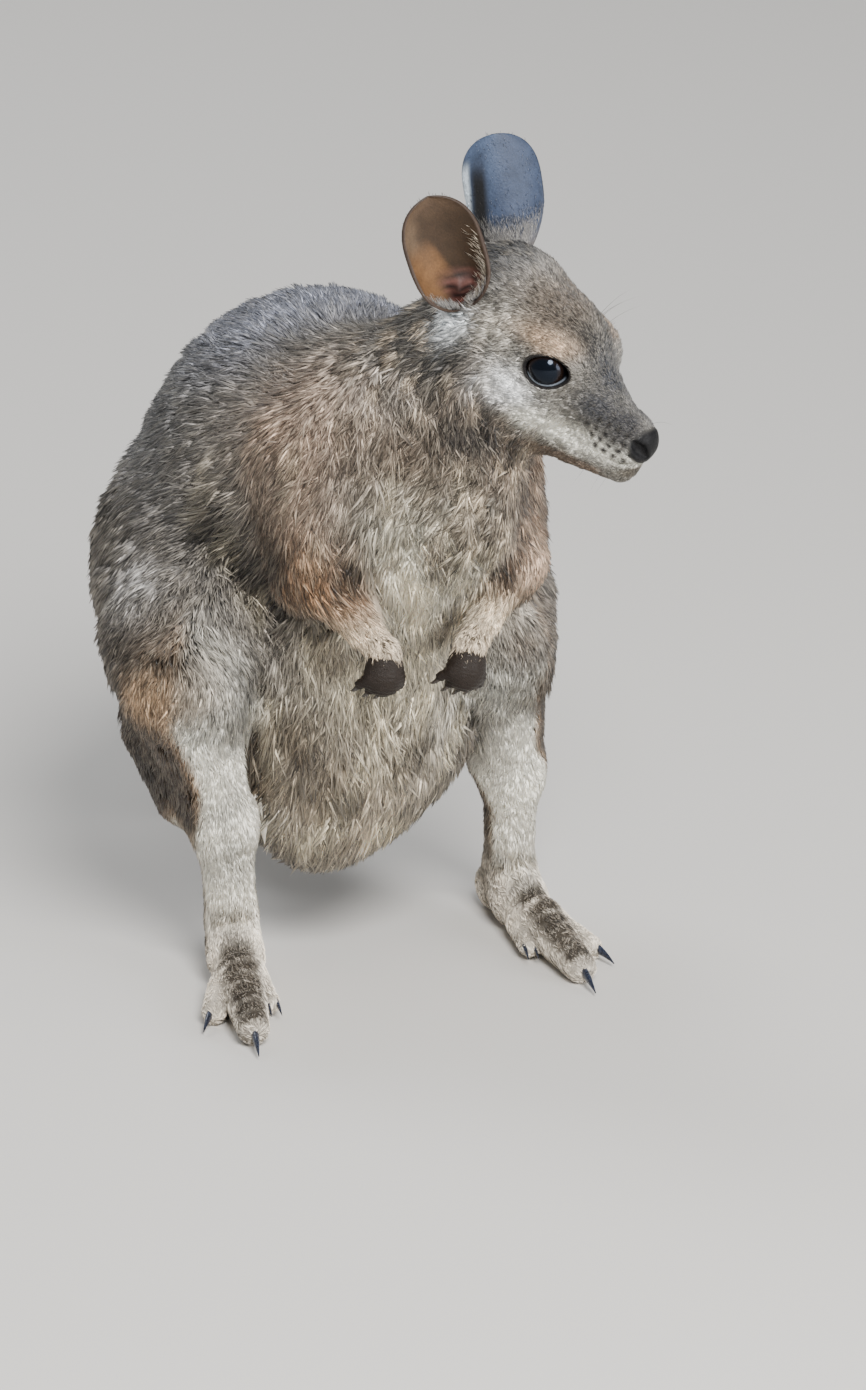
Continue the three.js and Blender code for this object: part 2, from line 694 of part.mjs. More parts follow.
// The origin is on the ground, under the middle of the whole animal.
const bounds = new THREE.Box3().setFromObject(model);
const middle = bounds.getCenter(new THREE.Vector3());
model.position.set(-middle.x, -middle.y, -bounds.min.z);

export default model;
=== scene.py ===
"""The looks of a still, life-size tammar wallaby: one skin, a coat of tufts, eyes, ears, nose and claws.

Shapes are worked out in millimetres in the body's own axes (+X the animal's left, -Y the way its hips
face, +Z up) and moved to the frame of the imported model, in metres, when a mesh is made.
"""
import math
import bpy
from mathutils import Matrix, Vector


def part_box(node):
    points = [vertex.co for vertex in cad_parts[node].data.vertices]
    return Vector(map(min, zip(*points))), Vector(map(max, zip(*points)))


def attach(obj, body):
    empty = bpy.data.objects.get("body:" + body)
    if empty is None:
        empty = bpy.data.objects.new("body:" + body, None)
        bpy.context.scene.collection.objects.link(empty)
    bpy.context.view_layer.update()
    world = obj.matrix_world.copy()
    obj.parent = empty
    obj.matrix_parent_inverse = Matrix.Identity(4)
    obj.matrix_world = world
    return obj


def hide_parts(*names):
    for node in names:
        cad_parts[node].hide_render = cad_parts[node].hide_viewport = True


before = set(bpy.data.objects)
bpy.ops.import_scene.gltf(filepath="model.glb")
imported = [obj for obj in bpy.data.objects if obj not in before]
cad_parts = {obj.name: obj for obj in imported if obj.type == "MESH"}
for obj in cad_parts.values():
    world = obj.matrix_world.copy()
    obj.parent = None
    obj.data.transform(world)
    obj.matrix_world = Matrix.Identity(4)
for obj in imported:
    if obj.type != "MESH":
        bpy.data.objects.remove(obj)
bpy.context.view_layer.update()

from concurrent.futures import ThreadPoolExecutor
import bpy
import numpy as np
from mathutils import Matrix, Vector, kdtree

# ---- body fields
F32 = np.float32
rng = np.random.default_rng(20)


def vec(*xyz):
    return np.array(xyz, dtype=F32)


def unit(a):
    return a / np.maximum(np.linalg.norm(a, axis=-1, keepdims=True), 1e-9)


def mix(a, b, t):
    return a * (1 - t) + b * t


def ease(x, start, end):
    """Goes smoothly from 0 at start to 1 at end."""
    t = np.clip((x - start) / (end - start), 0, 1)
    return t * t * (3 - 2 * t)


def seen_from(p, place):
    """Points in the axes of a place, which is given by its origin and three unit vectors."""
    origin, axes = place
    return (p - origin) @ axes.T


NOSE_TIP = vec(87, -113, 257)
HEAD_YAW, HEAD_PITCH, HEAD_ROLL = (math.radians(a) for a in (34, 18, 1))
EYE_RADIUS = 9.4
EYE_AT = {"forward": -53.2, "side": 16.5, "up": 10.1}
SIDES = {"right": -1, "left": 1}


def head_axes():
    """Unit vectors along the muzzle, to the head's left and up."""
    level = vec(math.cos(HEAD_YAW), math.sin(HEAD_YAW), 0)
    flat = math.cos(HEAD_PITCH)
    along = vec(math.sin(HEAD_YAW) * flat, -math.cos(HEAD_YAW) * flat, -math.sin(HEAD_PITCH))
    upright = -np.cross(level, along)
    side = level * math.cos(HEAD_ROLL) + upright * math.sin(HEAD_ROLL)
    up = upright * math.cos(HEAD_ROLL) - level * math.sin(HEAD_ROLL)
    return np.array([along, side, up], dtype=F32)


HEAD = head_axes()


def head_at(forward, side, up):
    return NOSE_TIP + vec(forward, side, up) @ HEAD


def in_head(p):
    """Points as seen from the nose tip: forward, to the animal's left, up."""
    return seen_from(p, (NOSE_TIP, HEAD))


LIMBS = {
    "right": dict(
        shoulder=vec(-37, -23, 236), elbow=vec(-42, -38, 191), wrist=vec(-27, -79, 164.5),
        hand_to=vec(-30, -83, 140.5), hip=vec(-46, 62, 168), knee=vec(-94, -16, 140),
        calf=vec(-84, 16, 110), calf_end=vec(-78, 16, 80), shin=vec(-70, -5, 72),
        ankle=vec(-63, 4, 24), foot_yaw=-16.7,
    ),
    "left": dict(
        shoulder=vec(45, -22, 232), elbow=vec(50, -35, 184), wrist=vec(16, -70, 158.5),
        hand_to=vec(9, -76, 134.5), hip=vec(46, 62, 168), knee=vec(50, -22, 142),
        calf=vec(58, 13, 120), calf_end=vec(67, 15, 86), shin=vec(70, 5, 74),
        ankle=vec(77, 23, 24), foot_yaw=-5.6,
    ),
}

# places along the tail, and its radius there
TAIL = [
    (vec(0, 112, 122), 36), (vec(6, 152, 66), 26), (vec(18, 192, 27), 20.5), (vec(42, 242, 17), 18),
    (vec(72, 298, 14.5), 15.5), (vec(110, 362, 11.5), 12.5), (vec(150, 424, 8), 9),
]


def foot_frame(name):
    """Origin under the ankle, then the unit vectors along, outwards and up."""
    limb = LIMBS[name]
    yaw = math.radians(limb["foot_yaw"])
    along = vec(math.sin(yaw), -math.cos(yaw), 0)
    outwards = vec(math.cos(yaw), math.sin(yaw), 0) * SIDES[name]
    return limb["ankle"] * vec(1, 1, 0), np.array([along, outwards, vec(0, 0, 1)], dtype=F32)


def hand_frame(name):
    """Origin at the wrist, then the unit vectors to the fingertips, outwards and to the hand's back."""
    limb, sign = LIMBS[name], SIDES[name]
    along = unit(limb["hand_to"] - limb["wrist"])
    side = unit(np.cross(along, vec(0, -sign, 0)))
    outwards = side if side[0] * sign > 0 else -side
    back = unit(np.cross(along, outwards))
    return limb["wrist"], np.array([along, outwards, back if back[1] < 0 else -back], dtype=F32)


def norm3(x, y, z):
    return np.sqrt(x * x + y * y + z * z)


def ball(p, centre, radii):
    """About how far points are outside an ellipsoid."""
    x, y, z = ((p[:, i] - F32(centre[i])) / F32(radii[i]) for i in range(3))
    near = norm3(x, y, z)
    slope = norm3(x / F32(radii[0]), y / F32(radii[1]), z / F32(radii[2]))
    return near * (near - 1) / np.maximum(slope, F32(1e-6))


def bone(p, a, b, ra, rb):
    """About how far points are outside a rod from a to b, whose radius goes from ra to rb."""
    ab = [F32(b[i] - a[i]) for i in range(3)]
    x, y, z = (p[:, i] - F32(a[i]) for i in range(3))
    t = np.clip((x * ab[0] + y * ab[1] + z * ab[2]) / (ab[0] ** 2 + ab[1] ** 2 + ab[2] ** 2), 0, 1)
    return norm3(x - t * ab[0], y - t * ab[1], z - t * ab[2]) - (ra + (rb - ra) * t)


def blend(k, *fields):
    """The union of fields, with a fillet of about k."""
    d = fields[0]
    for other in fields[1:]:
        h = np.maximum(k - np.abs(d - other), 0) / k
        d = np.minimum(d, other) - h * h * k / 4
    return d


def carve(k, d, hole):
    """d with the hole taken out of it, its edge rounded by about k."""
    return -blend(k, -d, hole)


def head_field(p):
    q = in_head(p)
    sides = [
        blend(8, ball(q, (-70, s * 13, -6), (26, 15, 22)), ball(q, (-53, s * 15, 13), (16, 9.5, 12.5)))
        for s in (-1, 1)
    ]
    return blend(
        8,
        ball(q, (-86, 0, 17), (28, 27, 29)),
        ball(q, (-62, 0, 15.5), (24, 19, 22.5)),
        *sides,
        bone(q, (-48, 0, 2), (-19, 0, -7), 19.5, 8.8),
        ball(q, (-20, 0, -12), (13, 10.5, 9.5)),
        ball(q, (-11.5, 0, -9.2), (8.8, 8, 8.4)),
        bone(q, (-68, 0, -21.5), (-15.5, 0, -23.5), 16.2, 7.8),
    )


def trunk_field(p):
    return blend(
        26,
        ball(p, (0, 66, 154), (86, 82, 92)),
        ball(p, (0, 52, 204), (79, 77, 84)),
        ball(p, (-4, 22, 130), (70, 65, 78)),
        ball(p, (-22, 10, 84), (33, 34, 41)),
        ball(p, (0, -6, 200), (56, 54, 72)),
        ball(p, (0, -14, 236), (52, 46, 44)),
        ball(p, (2, -38, 208), (34, 27, 44)),
    )


def neck_field(p):
    return blend(
        12,
        bone(p, (8, -26, 248), head_at(-92, 0, 6), 40, 27),
        bone(p, (14, -46, 218), head_at(-78, 0, -14), 32, 18),
    )


def tail_field(p):
    return blend(6, *[bone(p, a, b, ra, rb) for (a, ra), (b, rb) in zip(TAIL, TAIL[1:])])


def forearm_field(p, name):
    limb = LIMBS[name]
    return bone(p, limb["elbow"], limb["wrist"], 13.5, 6.5)


def thigh_field(p, name):
    hip, knee = LIMBS[name]["hip"], LIMBS[name]["knee"]
    return blend(14, bone(p, hip, knee, 50, 26), bone(p, hip, mix(hip, knee, 0.6), 52, 40))


def shank_field(p, name):
    limb = LIMBS[name]
    return blend(
        12,
        bone(p, limb["knee"], limb["shin"], 24, 14),
        bone(p, limb["shin"], limb["ankle"], 13.5, 11.5),
        bone(p, limb["calf"], limb["calf_end"], 24, 16),
    )


def foot_field(p, name):
    q = seen_from(p, foot_frame(name))
    return blend(
        2.5,
        blend(
            7,
            bone(q, (0, 0, 24), (14, 0, 15), 12.5, 12),
            ball(q, (-12, 0, 10.5), (16, 11, 12)),
            ball(q, (20, 0, 9.5), (36, 12, 11)),
            bone(q, (40, 1, 10), (93, 1, 7), 11, 7.5),
        ),
        bone(q, (40, 8, 7.5), (66, 15, 5.5), 7.5, 6),
        bone(q, (34, -6, 7.5), (58, -10, 5.5), 7, 5),
    )


def finger_ends(i):
    """Where finger i, from -2 to 2, starts and ends in the hand's frame."""
    length = 17 - i * i * 0.8
    return (11, i * 3.3, 1), (length, i * 4.7, -4)


def hand_field(p, name):
    q = seen_from(p, hand_frame(name))
    palm = blend(5, bone(q, (0, 0, 0), (8, 0, 0), 7, 7), ball(q, (10, 0, 0), (9, 9, 6.5)))
    fingers = [bone(q, *finger_ends(i), 3, 2.5) for i in range(-2, 3)]
    return blend(1.6, palm, *fingers)


GROUPS = ["head", "neck", "trunk", "tail"]
for limb_part in ("upper_arm", "forearm", "hand", "thigh", "shank", "foot"):
    GROUPS += [f"{limb_part}_right", f"{limb_part}_left"]


def groups_at(p):
    """How far points are outside each part of the body, by the part's name."""
    d = {"head": head_field(p), "neck": neck_field(p), "trunk": trunk_field(p), "tail": tail_field(p)}
    for name, limb in LIMBS.items():
        d[f"upper_arm_{name}"] = bone(p, limb["shoulder"], limb["elbow"], 24, 17)
        d[f"forearm_{name}"] = forearm_field(p, name)
        d[f"hand_{name}"] = hand_field(p, name)
        d[f"thigh_{name}"] = thigh_field(p, name)
        d[f"shank_{name}"] = shank_field(p, name)
        d[f"foot_{name}"] = foot_field(p, name)
    return d


def outline(d, hands):
    """The outside of the coat, from the distances to the parts of the body."""
    torso = blend(18, d["trunk"], d["neck"], d["tail"])
    root = blend(16, torso, *[d[f"{part}_{name}"] for part in ("upper_arm", "thigh") for name in LIMBS])
    skull = blend(14, d["head"], d["neck"])
    pieces = [root, skull]
    for name in LIMBS:
        arm = blend(9, d[f"upper_arm_{name}"], d[f"forearm_{name}"])
        if hands:
            arm = blend(3, arm, d[f"hand_{name}"])
        leg = blend(12, d[f"thigh_{name}"], d[f"shank_{name}"])
        pieces += [arm, blend(3, leg, d[f"foot_{name}"])]
    return blend(3, *pieces)


def weights_of(d):
    """How much each point belongs to each part of the body, changing over about 5 mm."""
    stack = np.stack([d[g] for g in GROUPS])
    power = np.exp(-(stack - stack.min(0)) / 5)
    return dict(zip(GROUPS, power / power.sum(0)))


# How deep the coat is, how long and wide a tuft is, in mm, and how many thousand tufts there are.
COAT = {
    #            depth  long  wide  thousands
    "head":      (1.5,  3.4,  0.38, 98),
    "neck":      (4.5, 12.0,  0.54, 44),
    "trunk":     (5.5, 13.0,  0.58, 112),
    "tail":      (3.2, 10.0,  0.80, 14),
    "upper_arm": (4.3, 12.0,  0.54, 27),
    "forearm":   (2.0,  5.5,  0.42, 16),
    "hand":      (0.5,  3.4,  0.36, 1),
    "thigh":     (4.6, 11.5,  0.58, 34),
    "shank":     (2.6,  7.5,  0.48, 18),
    "foot":      (1.1,  4.2,  0.46, 14),
}


def kind_of(group):
    """The row of COAT that a part of the body follows."""
    return group.rsplit("_", 1)[0] if group.endswith(("_right", "_left")) else group


def coat_measure(w, column):
    """A column of COAT at points of the body, from their weights."""
    return sum(share * COAT[kind_of(group)][column] for group, share in w.items())


def eye_frame(sign):
    """Centre of an eye, then unit vectors out of it, towards its front corner and up."""
    centre = head_at(EYE_AT["forward"], sign * EYE_AT["side"], EYE_AT["up"])
    out = unit(vec(0.30, sign * 0.95, 0.05))
    ahead = unit(vec(1, 0, 0.18) - out * (vec(1, 0, 0.18) @ out))
    up = np.cross(out, ahead)
    up = up if up[2] > 0 else -up
    return centre, np.array([out, ahead, up], dtype=F32) @ HEAD


LID_THICKNESS, LID_WIDTH = 1.25, 3.2
LIDS = {"middle": 0.5, "front": 9.9, "back": 9.0, "top": 6.8, "bottom": 6.5}
ALMOND = 1.9  # how round the lids' opening is, where 2 is an ellipse


def lid_edge(q):
    """Below 0 inside the opening of the lids, seen along the eye's axis. q is out, ahead, up."""
    ahead = q[:, 1] - LIDS["middle"]
    across = np.abs(ahead) / np.where(ahead > 0, LIDS["front"], LIDS["back"])
    rise = np.abs(q[:, 2]) / np.where(q[:, 2] > 0, LIDS["top"], LIDS["bottom"])
    return ((across ** ALMOND + rise ** ALMOND) ** (1 / ALMOND) - 1) * LIDS["bottom"]


EARS = {
    "right": dict(root=(-98.2, -19.4, 16.4), to=vec(-0.36, -0.36, 0.88), faces=vec(0.46, -0.76, 0.36)),
    "left": dict(root=(-95.8, 16.6, 25.2), to=vec(-0.515, 0.06, 0.88), faces=vec(-0.38, 0.8, -0.45)),
}
EAR_LENGTH, EAR_HALF_WIDTH, EAR_THICKNESS = 59.5, 17, 1.4
EAR_WIDEST = 0.56  # of the way from root to tip


def ear_frame(name):
    """The root of an ear, then unit vectors along it, the way it opens and across it."""
    along = unit(EARS[name]["to"] @ HEAD)
    faces = EARS[name]["faces"] @ HEAD
    opening = unit(faces - along * (faces @ along))
    return head_at(*EARS[name]["root"]), along, opening, np.cross(along, opening)


def ear_section(h):
    """How far the leaf bends round to each side and the radius of the bend, h of the way to the tip."""
    off = np.abs(h - EAR_WIDEST) / np.where(h < EAR_WIDEST, EAR_WIDEST, 1 - EAR_WIDEST)
    low = np.maximum(1 - off ** 2, 0.12) ** 0.9
    high = np.maximum(1 - off ** 3.2, 0.004) ** 0.5
    curl = np.radians(np.interp(h, (0, 0.25, 0.55, 1), (150, 112, 66, 30)))
    width = EAR_HALF_WIDTH * np.where(h < EAR_WIDEST, low, high)
    return curl, width / np.where(curl < math.pi / 2, np.sin(curl), 1)


def ear_points(name, h, turn, depth):
    """Points of an ear: h from root to tip, turn from -1 to 1 across it, depth under its back."""
    root, along, opening, side = ear_frame(name)
    curl, radius = ear_section(h)
    inner = radius - np.minimum(depth, radius * 0.65)
    spine = root + along * (EAR_LENGTH * h)[:, None] + opening * (3 * h * h)[:, None]
    across = side * (inner * np.sin(curl * turn))[:, None]
    return spine + across + opening * (radius - inner * np.cos(curl * turn))[:, None]


def ear_canal(p, name):
    """The hole at the bottom of an ear."""
    root, along, opening, _ = ear_frame(name)
    top = root + along * 8.5 + opening * 7.5
    return bone(p, top, top - along * 13 - opening * 2, 4.4, 2.6)


def in_ear_cup(p, name):
    """Whether points are inside the rolled leaf of an ear, where the skull's skin is its bottom."""
    root, along, opening, side = ear_frame(name)
    q = p - root
    h = q @ along / EAR_LENGTH
    _, radius = ear_section(np.clip(h, 0, 1))
    off = np.hypot(q @ side, q @ opening - radius)
    return (off < radius - 0.6) & (h > -0.03) & (h < 0.5)


def nose_mask(q):
    """1 on the bare pad of the nose."""
    return ease(-ball(q, (-4.6, 0, -9.6), (10.6, 10.8, 8.2)), -0.9, 0.9)


def face_details(p, d):
    """The skin's lids, nostrils, mouth, ear canals and the split of the lip, on top of the plain head."""
    q = in_head(p)
    near = (q[:, 0] > -112) & (np.abs(q[:, 1]) < 45) & (np.abs(q[:, 2]) < 48)
    if not near.any():
        return d
    q, p, out = q[near], p[near], d[near]
    for name, sign in SIDES.items():
        out = carve(2.0, out, ear_canal(p, name))
        e = seen_from(p, eye_frame(sign))
        edge = lid_edge(e)
        lid = np.maximum(np.sqrt((e ** 2).sum(1)) - (EYE_RADIUS + LID_THICKNESS), edge - LID_WIDTH)
        out = blend(2.2, out, np.where(e[:, 0] > 0, lid, 50))
        out = np.where(e[:, 0] > 0, carve(0.9, out, np.maximum(edge, -e[:, 0])), out)
        side = vec(1, sign, 1)
        # the nostril, a comma that opens to the side
        low, middle, high = (
            vec(*a) * side for a in ((-3.6, 3.4, -13.0), (-5.0, 7.0, -9.8), (-10.4, 10.2, -5.6))
        )
        out = carve(0.9, out, blend(1.0, bone(q, low, middle, 1.4, 2.9), bone(q, middle, high, 2.9, 1.1)))
        # the mouth, a groove that runs back under the upper lip
        front, middle, rear = (
            vec(*a) * side for a in ((-7, 4.4, -17.6), (-24, 11.4, -20.4), (-42, 16.8, -19.0))
        )
        out = carve(1.2, out, np.minimum(bone(q, front, middle, 0.7, 0.9), bone(q, middle, rear, 0.9, 0.5)))
    # the split of the upper lip under the nose
    out = carve(0.9, out, bone(q, vec(-2.0, 0, -12.5), vec(-5.5, 0, -19.0), 0.5, 0.7))
    d = d.copy()
    d[near] = out
    return d


def depth_at(p, w):
    """How deep the coat is at points of the body: thin on the muzzle, gone on the nose."""
    depth = coat_measure(w, 0)
    q = in_head(p)
    muzzle = ease(q[:, 0], -46, -22) * w["head"]
    back = (1 - ease(q[:, 0], -100, -70)) * w["head"]
    return (depth * (1 - 0.45 * muzzle) + 1.6 * back) * (1 - nose_mask(q))


def skin_value(p, plain=False):
    """About how far points are outside the skin. Plain skin is without the hands and the face's details."""
    d = groups_at(p)
    value = outline(d, hands=not plain) + depth_at(p, weights_of(d))
    return value if plain else face_details(p, value)


def plain_skin(p):
    return skin_value(p, plain=True)


CHUNK, CORES = 30_000, 4


def evaluate(f, p):
    """f at many points, a chunk at a time on every core."""
    parts = [np.asfortranarray(p[i:i + CHUNK]) for i in range(0, len(p), CHUNK)]
    with ThreadPoolExecutor(CORES) as pool:
        return np.concatenate(list(pool.map(f, parts)))


def gradient(f, p, e=0.25):
    """The slope of f, from four points at e round each point."""
    total = 0
    for corner in ((1, 1, 1), (1, -1, -1), (-1, 1, -1), (-1, -1, 1)):
        c = vec(*corner)
        total = total + evaluate(f, p + c * F32(e))[:, None] * c
    return total / F32(4 * e)


def settle(f, p):
    """Moves points on to the surface where f is 0, and gives the outward normals there."""
    for _ in range(2):
        slope = gradient(f, p)
        size2 = np.maximum((slope ** 2).sum(1), 0.05)
        step = np.clip(evaluate(f, p) / size2, -3, 3)
        p = p - slope * step[:, None]
    return p, unit(gradient(f, p))


def field_grid(f, low, high, step):
    """f on a grid. Blocks far from the surface get their centre's value at every point."""
    block = 6
    shape = [int(math.ceil((b - a) / step / block)) for a, b in zip(low, high)]
    cells = np.stack(np.meshgrid(*[np.arange(n) for n in shape], indexing="ij"), -1).reshape(-1, 3)
    low = np.array(low, dtype=F32)
    centre = evaluate(f, (low + (cells + 0.5) * (block * step)).astype(F32))
    value = centre.reshape(shape)
    for axis in range(3):
        value = np.repeat(value, block, axis)
    corner_distance = block * step * math.sqrt(3) / 2
    close = np.abs(centre) < corner_distance * 1.9
    inner = np.stack(np.meshgrid(*[np.arange(block)] * 3, indexing="ij"), -1).reshape(-1, 3)
    at = (cells[close][:, None] * block + inner[None]).reshape(-1, 3)
    value[tuple(at.T)] = evaluate(f, (low + at * step).astype(F32))
    return value


def surface_net(f, low, high, step):
    """A quad mesh of the surface where f is 0, from a grid of that step."""
    value = field_grid(f, low, high, step)
    shape = value.shape
    inside = value < 0
    cells = tuple(n - 1 for n in shape)
    # each cell that the surface passes through gets one point, the mean of its edges' crossings
    total = np.zeros((np.prod(cells), 3))
    count = np.zeros(np.prod(cells))
    quads = []
    for axis in range(3):
        ahead = [slice(None)] * 3
        ahead[axis] = slice(1, None)
        behind = [slice(None)] * 3
        behind[axis] = slice(0, -1)
        v0, v1 = value[tuple(behind)], value[tuple(ahead)]
        at = np.argwhere(inside[tuple(behind)] != inside[tuple(ahead)])
        b, c = (axis + 1) % 3, (axis + 2) % 3
        whole = (at[:, b] > 0) & (at[:, c] > 0) & (at[:, b] < cells[b]) & (at[:, c] < cells[c])
        at = at[whole]
        f0, f1 = v0[tuple(at.T)], v1[tuple(at.T)]
        place = at.astype(float)
        place[:, axis] += f0 / (f0 - f1)
        corners = []
        for db, dc in ((-1, -1), (0, -1), (0, 0), (-1, 0)):
            cell = at.copy()
            cell[:, b] += db
            cell[:, c] += dc
            index = np.ravel_multi_index(tuple(cell.T), cells)
            corners.append(index)
            count += np.bincount(index, minlength=len(count))
            for k in range(3):
                total[:, k] += np.bincount(index, weights=place[:, k], minlength=len(count))
        quad = np.stack(corners, 1)
        flip = f0 > f1
        quad[flip] = quad[flip][:, ::-1]
        quads.append(quad)
    quads = np.concatenate(quads)
    used = np.unique(quads)
    number = np.full(len(count), -1)
    number[used] = np.arange(len(used))
    points = total[used] / count[used][:, None] * step + np.array(low)
    return points.astype(F32), number[quads]


# ---- patches of skin
PATCHES = {}  # their points, normals and quads, by name
FINE_STEP, FOOT_STEP, BODY_STEP = 0.8, 1.3, 2.5  # mm between the points of a patch
OVERLAP = 4  # mm that the body's patch runs on under the others
HAND_REACH = 34  # mm from the wrist


def keep(points, normals, quads, wanted):
    """The quads whose four corners are wanted, with unused points dropped."""
    quads = quads[wanted[quads].all(1)]
    used = np.unique(quads)
    number = np.full(len(points), -1)
    number[used] = np.arange(len(used))
    return points[used], normals[used], number[quads]


def in_face(p, grow=0.0):
    """Whether points are where the head's patch covers the body, grown by some mm."""
    return ball(in_head(p), (-60, 0, 0), (66, 46, 48)) < grow


def in_foot(p, grow=0.0):
    """The same for both feet."""
    return (p[:, 2] < 33 + grow) & (p[:, 1] < 70)


def in_hand(p, name, grow=0.0):
    """The same for one hand."""
    q = seen_from(p, hand_frame(name))
    return (q[:, 0] > -3 - grow) & (norm3(*q.T) < HAND_REACH) & (hand_field(p, name) < 3)


def add_patch(name, f, low, high, step, wanted):
    """Keeps the wanted part of the surface where f is 0."""
    points, quads = surface_net(f, low, high, step)
    points, normals = settle(f, points)
    PATCHES[name] = keep(points, normals, quads, wanted(points))


def outside_small_patches(p):
    hands = in_hand(p, "right", -OVERLAP) | in_hand(p, "left", -OVERLAP)
    return ~(in_face(p, -OVERLAP) | in_foot(p, -OVERLAP) | hands)


def bare_hand_field(p, name):
    """The hand's skin, with wrinkles 1.9 mm apart across its back and fingers."""
    q = seen_from(p, hand_frame(name))
    wrinkle = 0.16 * np.sin(2 * math.pi * (q[:, 0] - 0.3 * q[:, 2]) / 1.9) * ease(q[:, 0], 2, 8)
    under_coat = mix(COAT["forearm"][0] + 0.4, 0.45, ease(q[:, 0], -1, 4))
    return blend(5, forearm_field(p, name), hand_field(p, name)) + under_coat + wrinkle


add_patch("body", plain_skin, (-150, -115, 0), (170, 440, 320), BODY_STEP, outside_small_patches)
head_centre = head_at(-60, 0, 0)
add_patch("head", skin_value, head_centre - 69, head_centre + 69, FINE_STEP, lambda p: in_face(p, 2))
for name in SIDES:
    origin, axes = foot_frame(name)
    reach = np.abs(axes[0]) * 66 + np.abs(axes[1]) * 26 + vec(3, 3, 0)
    low, high = origin + axes[0] * 42 - reach, origin + axes[0] * 42 + reach
    low[2], high[2] = -4, 37
    add_patch(f"foot_{name}", plain_skin, low, high, FOOT_STEP, lambda p: in_foot(p, 2))
    origin, axes = hand_frame(name)
    middle = origin + axes[0] * 10
    add_patch(
        f"hand_{name}", lambda p: bare_hand_field(p, name),
        middle - 24, middle + 24, FINE_STEP, lambda p: in_hand(p, name),
    )


# ---- markings
def srgb(r, g, b):
    """A colour as the renderer counts it, from how a picture writes it."""
    c = np.array([r, g, b]) / 255
    return np.where(c <= 0.04045, c / 12.92, ((c + 0.055) / 1.055) ** 2.4).astype(F32)


def spot(q, centre, radii):
    """A soft ellipsoid, 1 at its centre."""
    return np.exp(-(((q - vec(*centre)) / vec(*radii)) ** 2).sum(1))[:, None]


def near_line(p, line, width):
    """1 on a line through some places, fading over its width."""
    gap = np.minimum.reduce([bone(p, a, b, 0, 0) for a, b in zip(line, line[1:])])
    return np.exp(-(gap / width) ** 2)[:, None]


def waves(p, size, seed):
    """A smooth random field, about -1 to 1, whose swells are about size across."""
    local = np.random.default_rng(seed)
    total = 0
    for _ in range(5):
        k = unit(local.normal(size=3)) * 2 * math.pi / (size * local.uniform(1.4, 2.6))
        total = total + np.sin(p @ k.astype(F32) + F32(local.uniform(0, 6.28)))
    return (total / 2.4).astype(F32)


# rows of whisker pores: how high, where the first is and how many
WHISKER_ROWS = [(-5.0, -12, 4), (-9.2, -10, 5), (-13.4, -9, 5), (-17.0, -9, 4)]


def whisker_roots():
    """Places of the whisker pores in the head's frame, for the animal's left side."""
    places = []
    for row, (up, first, count) in enumerate(WHISKER_ROWS):
        for i in range(count):
            places.append((first - 4.6 * i - (row % 2) * 2, up + 0.5 * i))
    return places


def pore_mask(q):
    """1 on the dark pores of the whiskers."""
    mask = np.zeros(len(q), dtype=F32)
    for forward, up in whisker_roots():
        d2 = (q[:, 0] - forward) ** 2 + (q[:, 2] - up) ** 2
        mask = np.maximum(mask, np.exp(-d2 / 1.25 ** 2))
    return (mask * (np.abs(q[:, 1]) > 3))[:, None]


# Soft spots of colour on the head, in its own axes: colour, strength, centre, radii.
HEAD_SPOTS = [
    ((136, 134, 131), 1.1, (-84, 0, 44), (26, 30, 20)),
    ((104, 93, 82), 1.2, (-60, 8, 33), (22, 20, 14)),
    ((46, 45, 44), 1.2, (-42, 9, 24), (15, 12, 10)),
    ((48, 50, 55), 1.2, (-29, 0, 13), (17, 11, 12)),
    ((70, 71, 75), 1.3, (-27, 12, 1), (13, 7, 8)),
    ((62, 62, 66), 1.2, (-14, 8, 0), (9, 8, 6)),
    ((196, 192, 182), 1.0, (-79, 27, 17), (14, 10, 12)),
    # the pale cheek, raised to white by a painted highlight
    ((254, 255, 255), 1.7, (-68, 29, -5), (14, 14, 9)),
    ((150, 147, 140), 0.8, (-45, 21, -5), (9, 8, 6)),
    ((140, 132, 122), 1.0, (-64, 27, -21), (18, 14, 7)),
]
STRIPE = [
    (-9, 6, -17.5), (-16, 9, -16.5), (-24, 11, -16), (-33, 12, -17), (-43, 15, -16.5), (-53, 21, -14.5),
]
EYEBROW_SPOTS = [
    ((206, 178, 150), 1.3, (-56, 22, 22.5), (13, 9, 4.5)),
    ((150, 147, 142), 0.3, (-41, 17, 17), (5, 7, 4)),
]
EDGE_SPOTS = [
    # painted shade behind the jaw
    ((92, 82, 73), 1.1, (-72, 34, -27), (14, 12, 10)),
    ((96, 90, 80), 1.5, (-9, 0, -23), (9, 10, 4)),
    ((226, 230, 232), 1.5, (-98, 28, 15), (8, 7, 7)),
    ((46, 47, 50), 1.2, (-96, 8, 45), (12, 16, 13)),
    ((70, 69, 70), 0.9, (-15, 10, -7), (8, 7, 6)),
]


def painted(c, q, spots):
    """Colours with soft spots painted over them."""
    for colour, strength, centre, radii in spots:
        c = mix(c, srgb(*colour), np.clip(strength * spot(q, centre, radii), 0, 1))
    return c


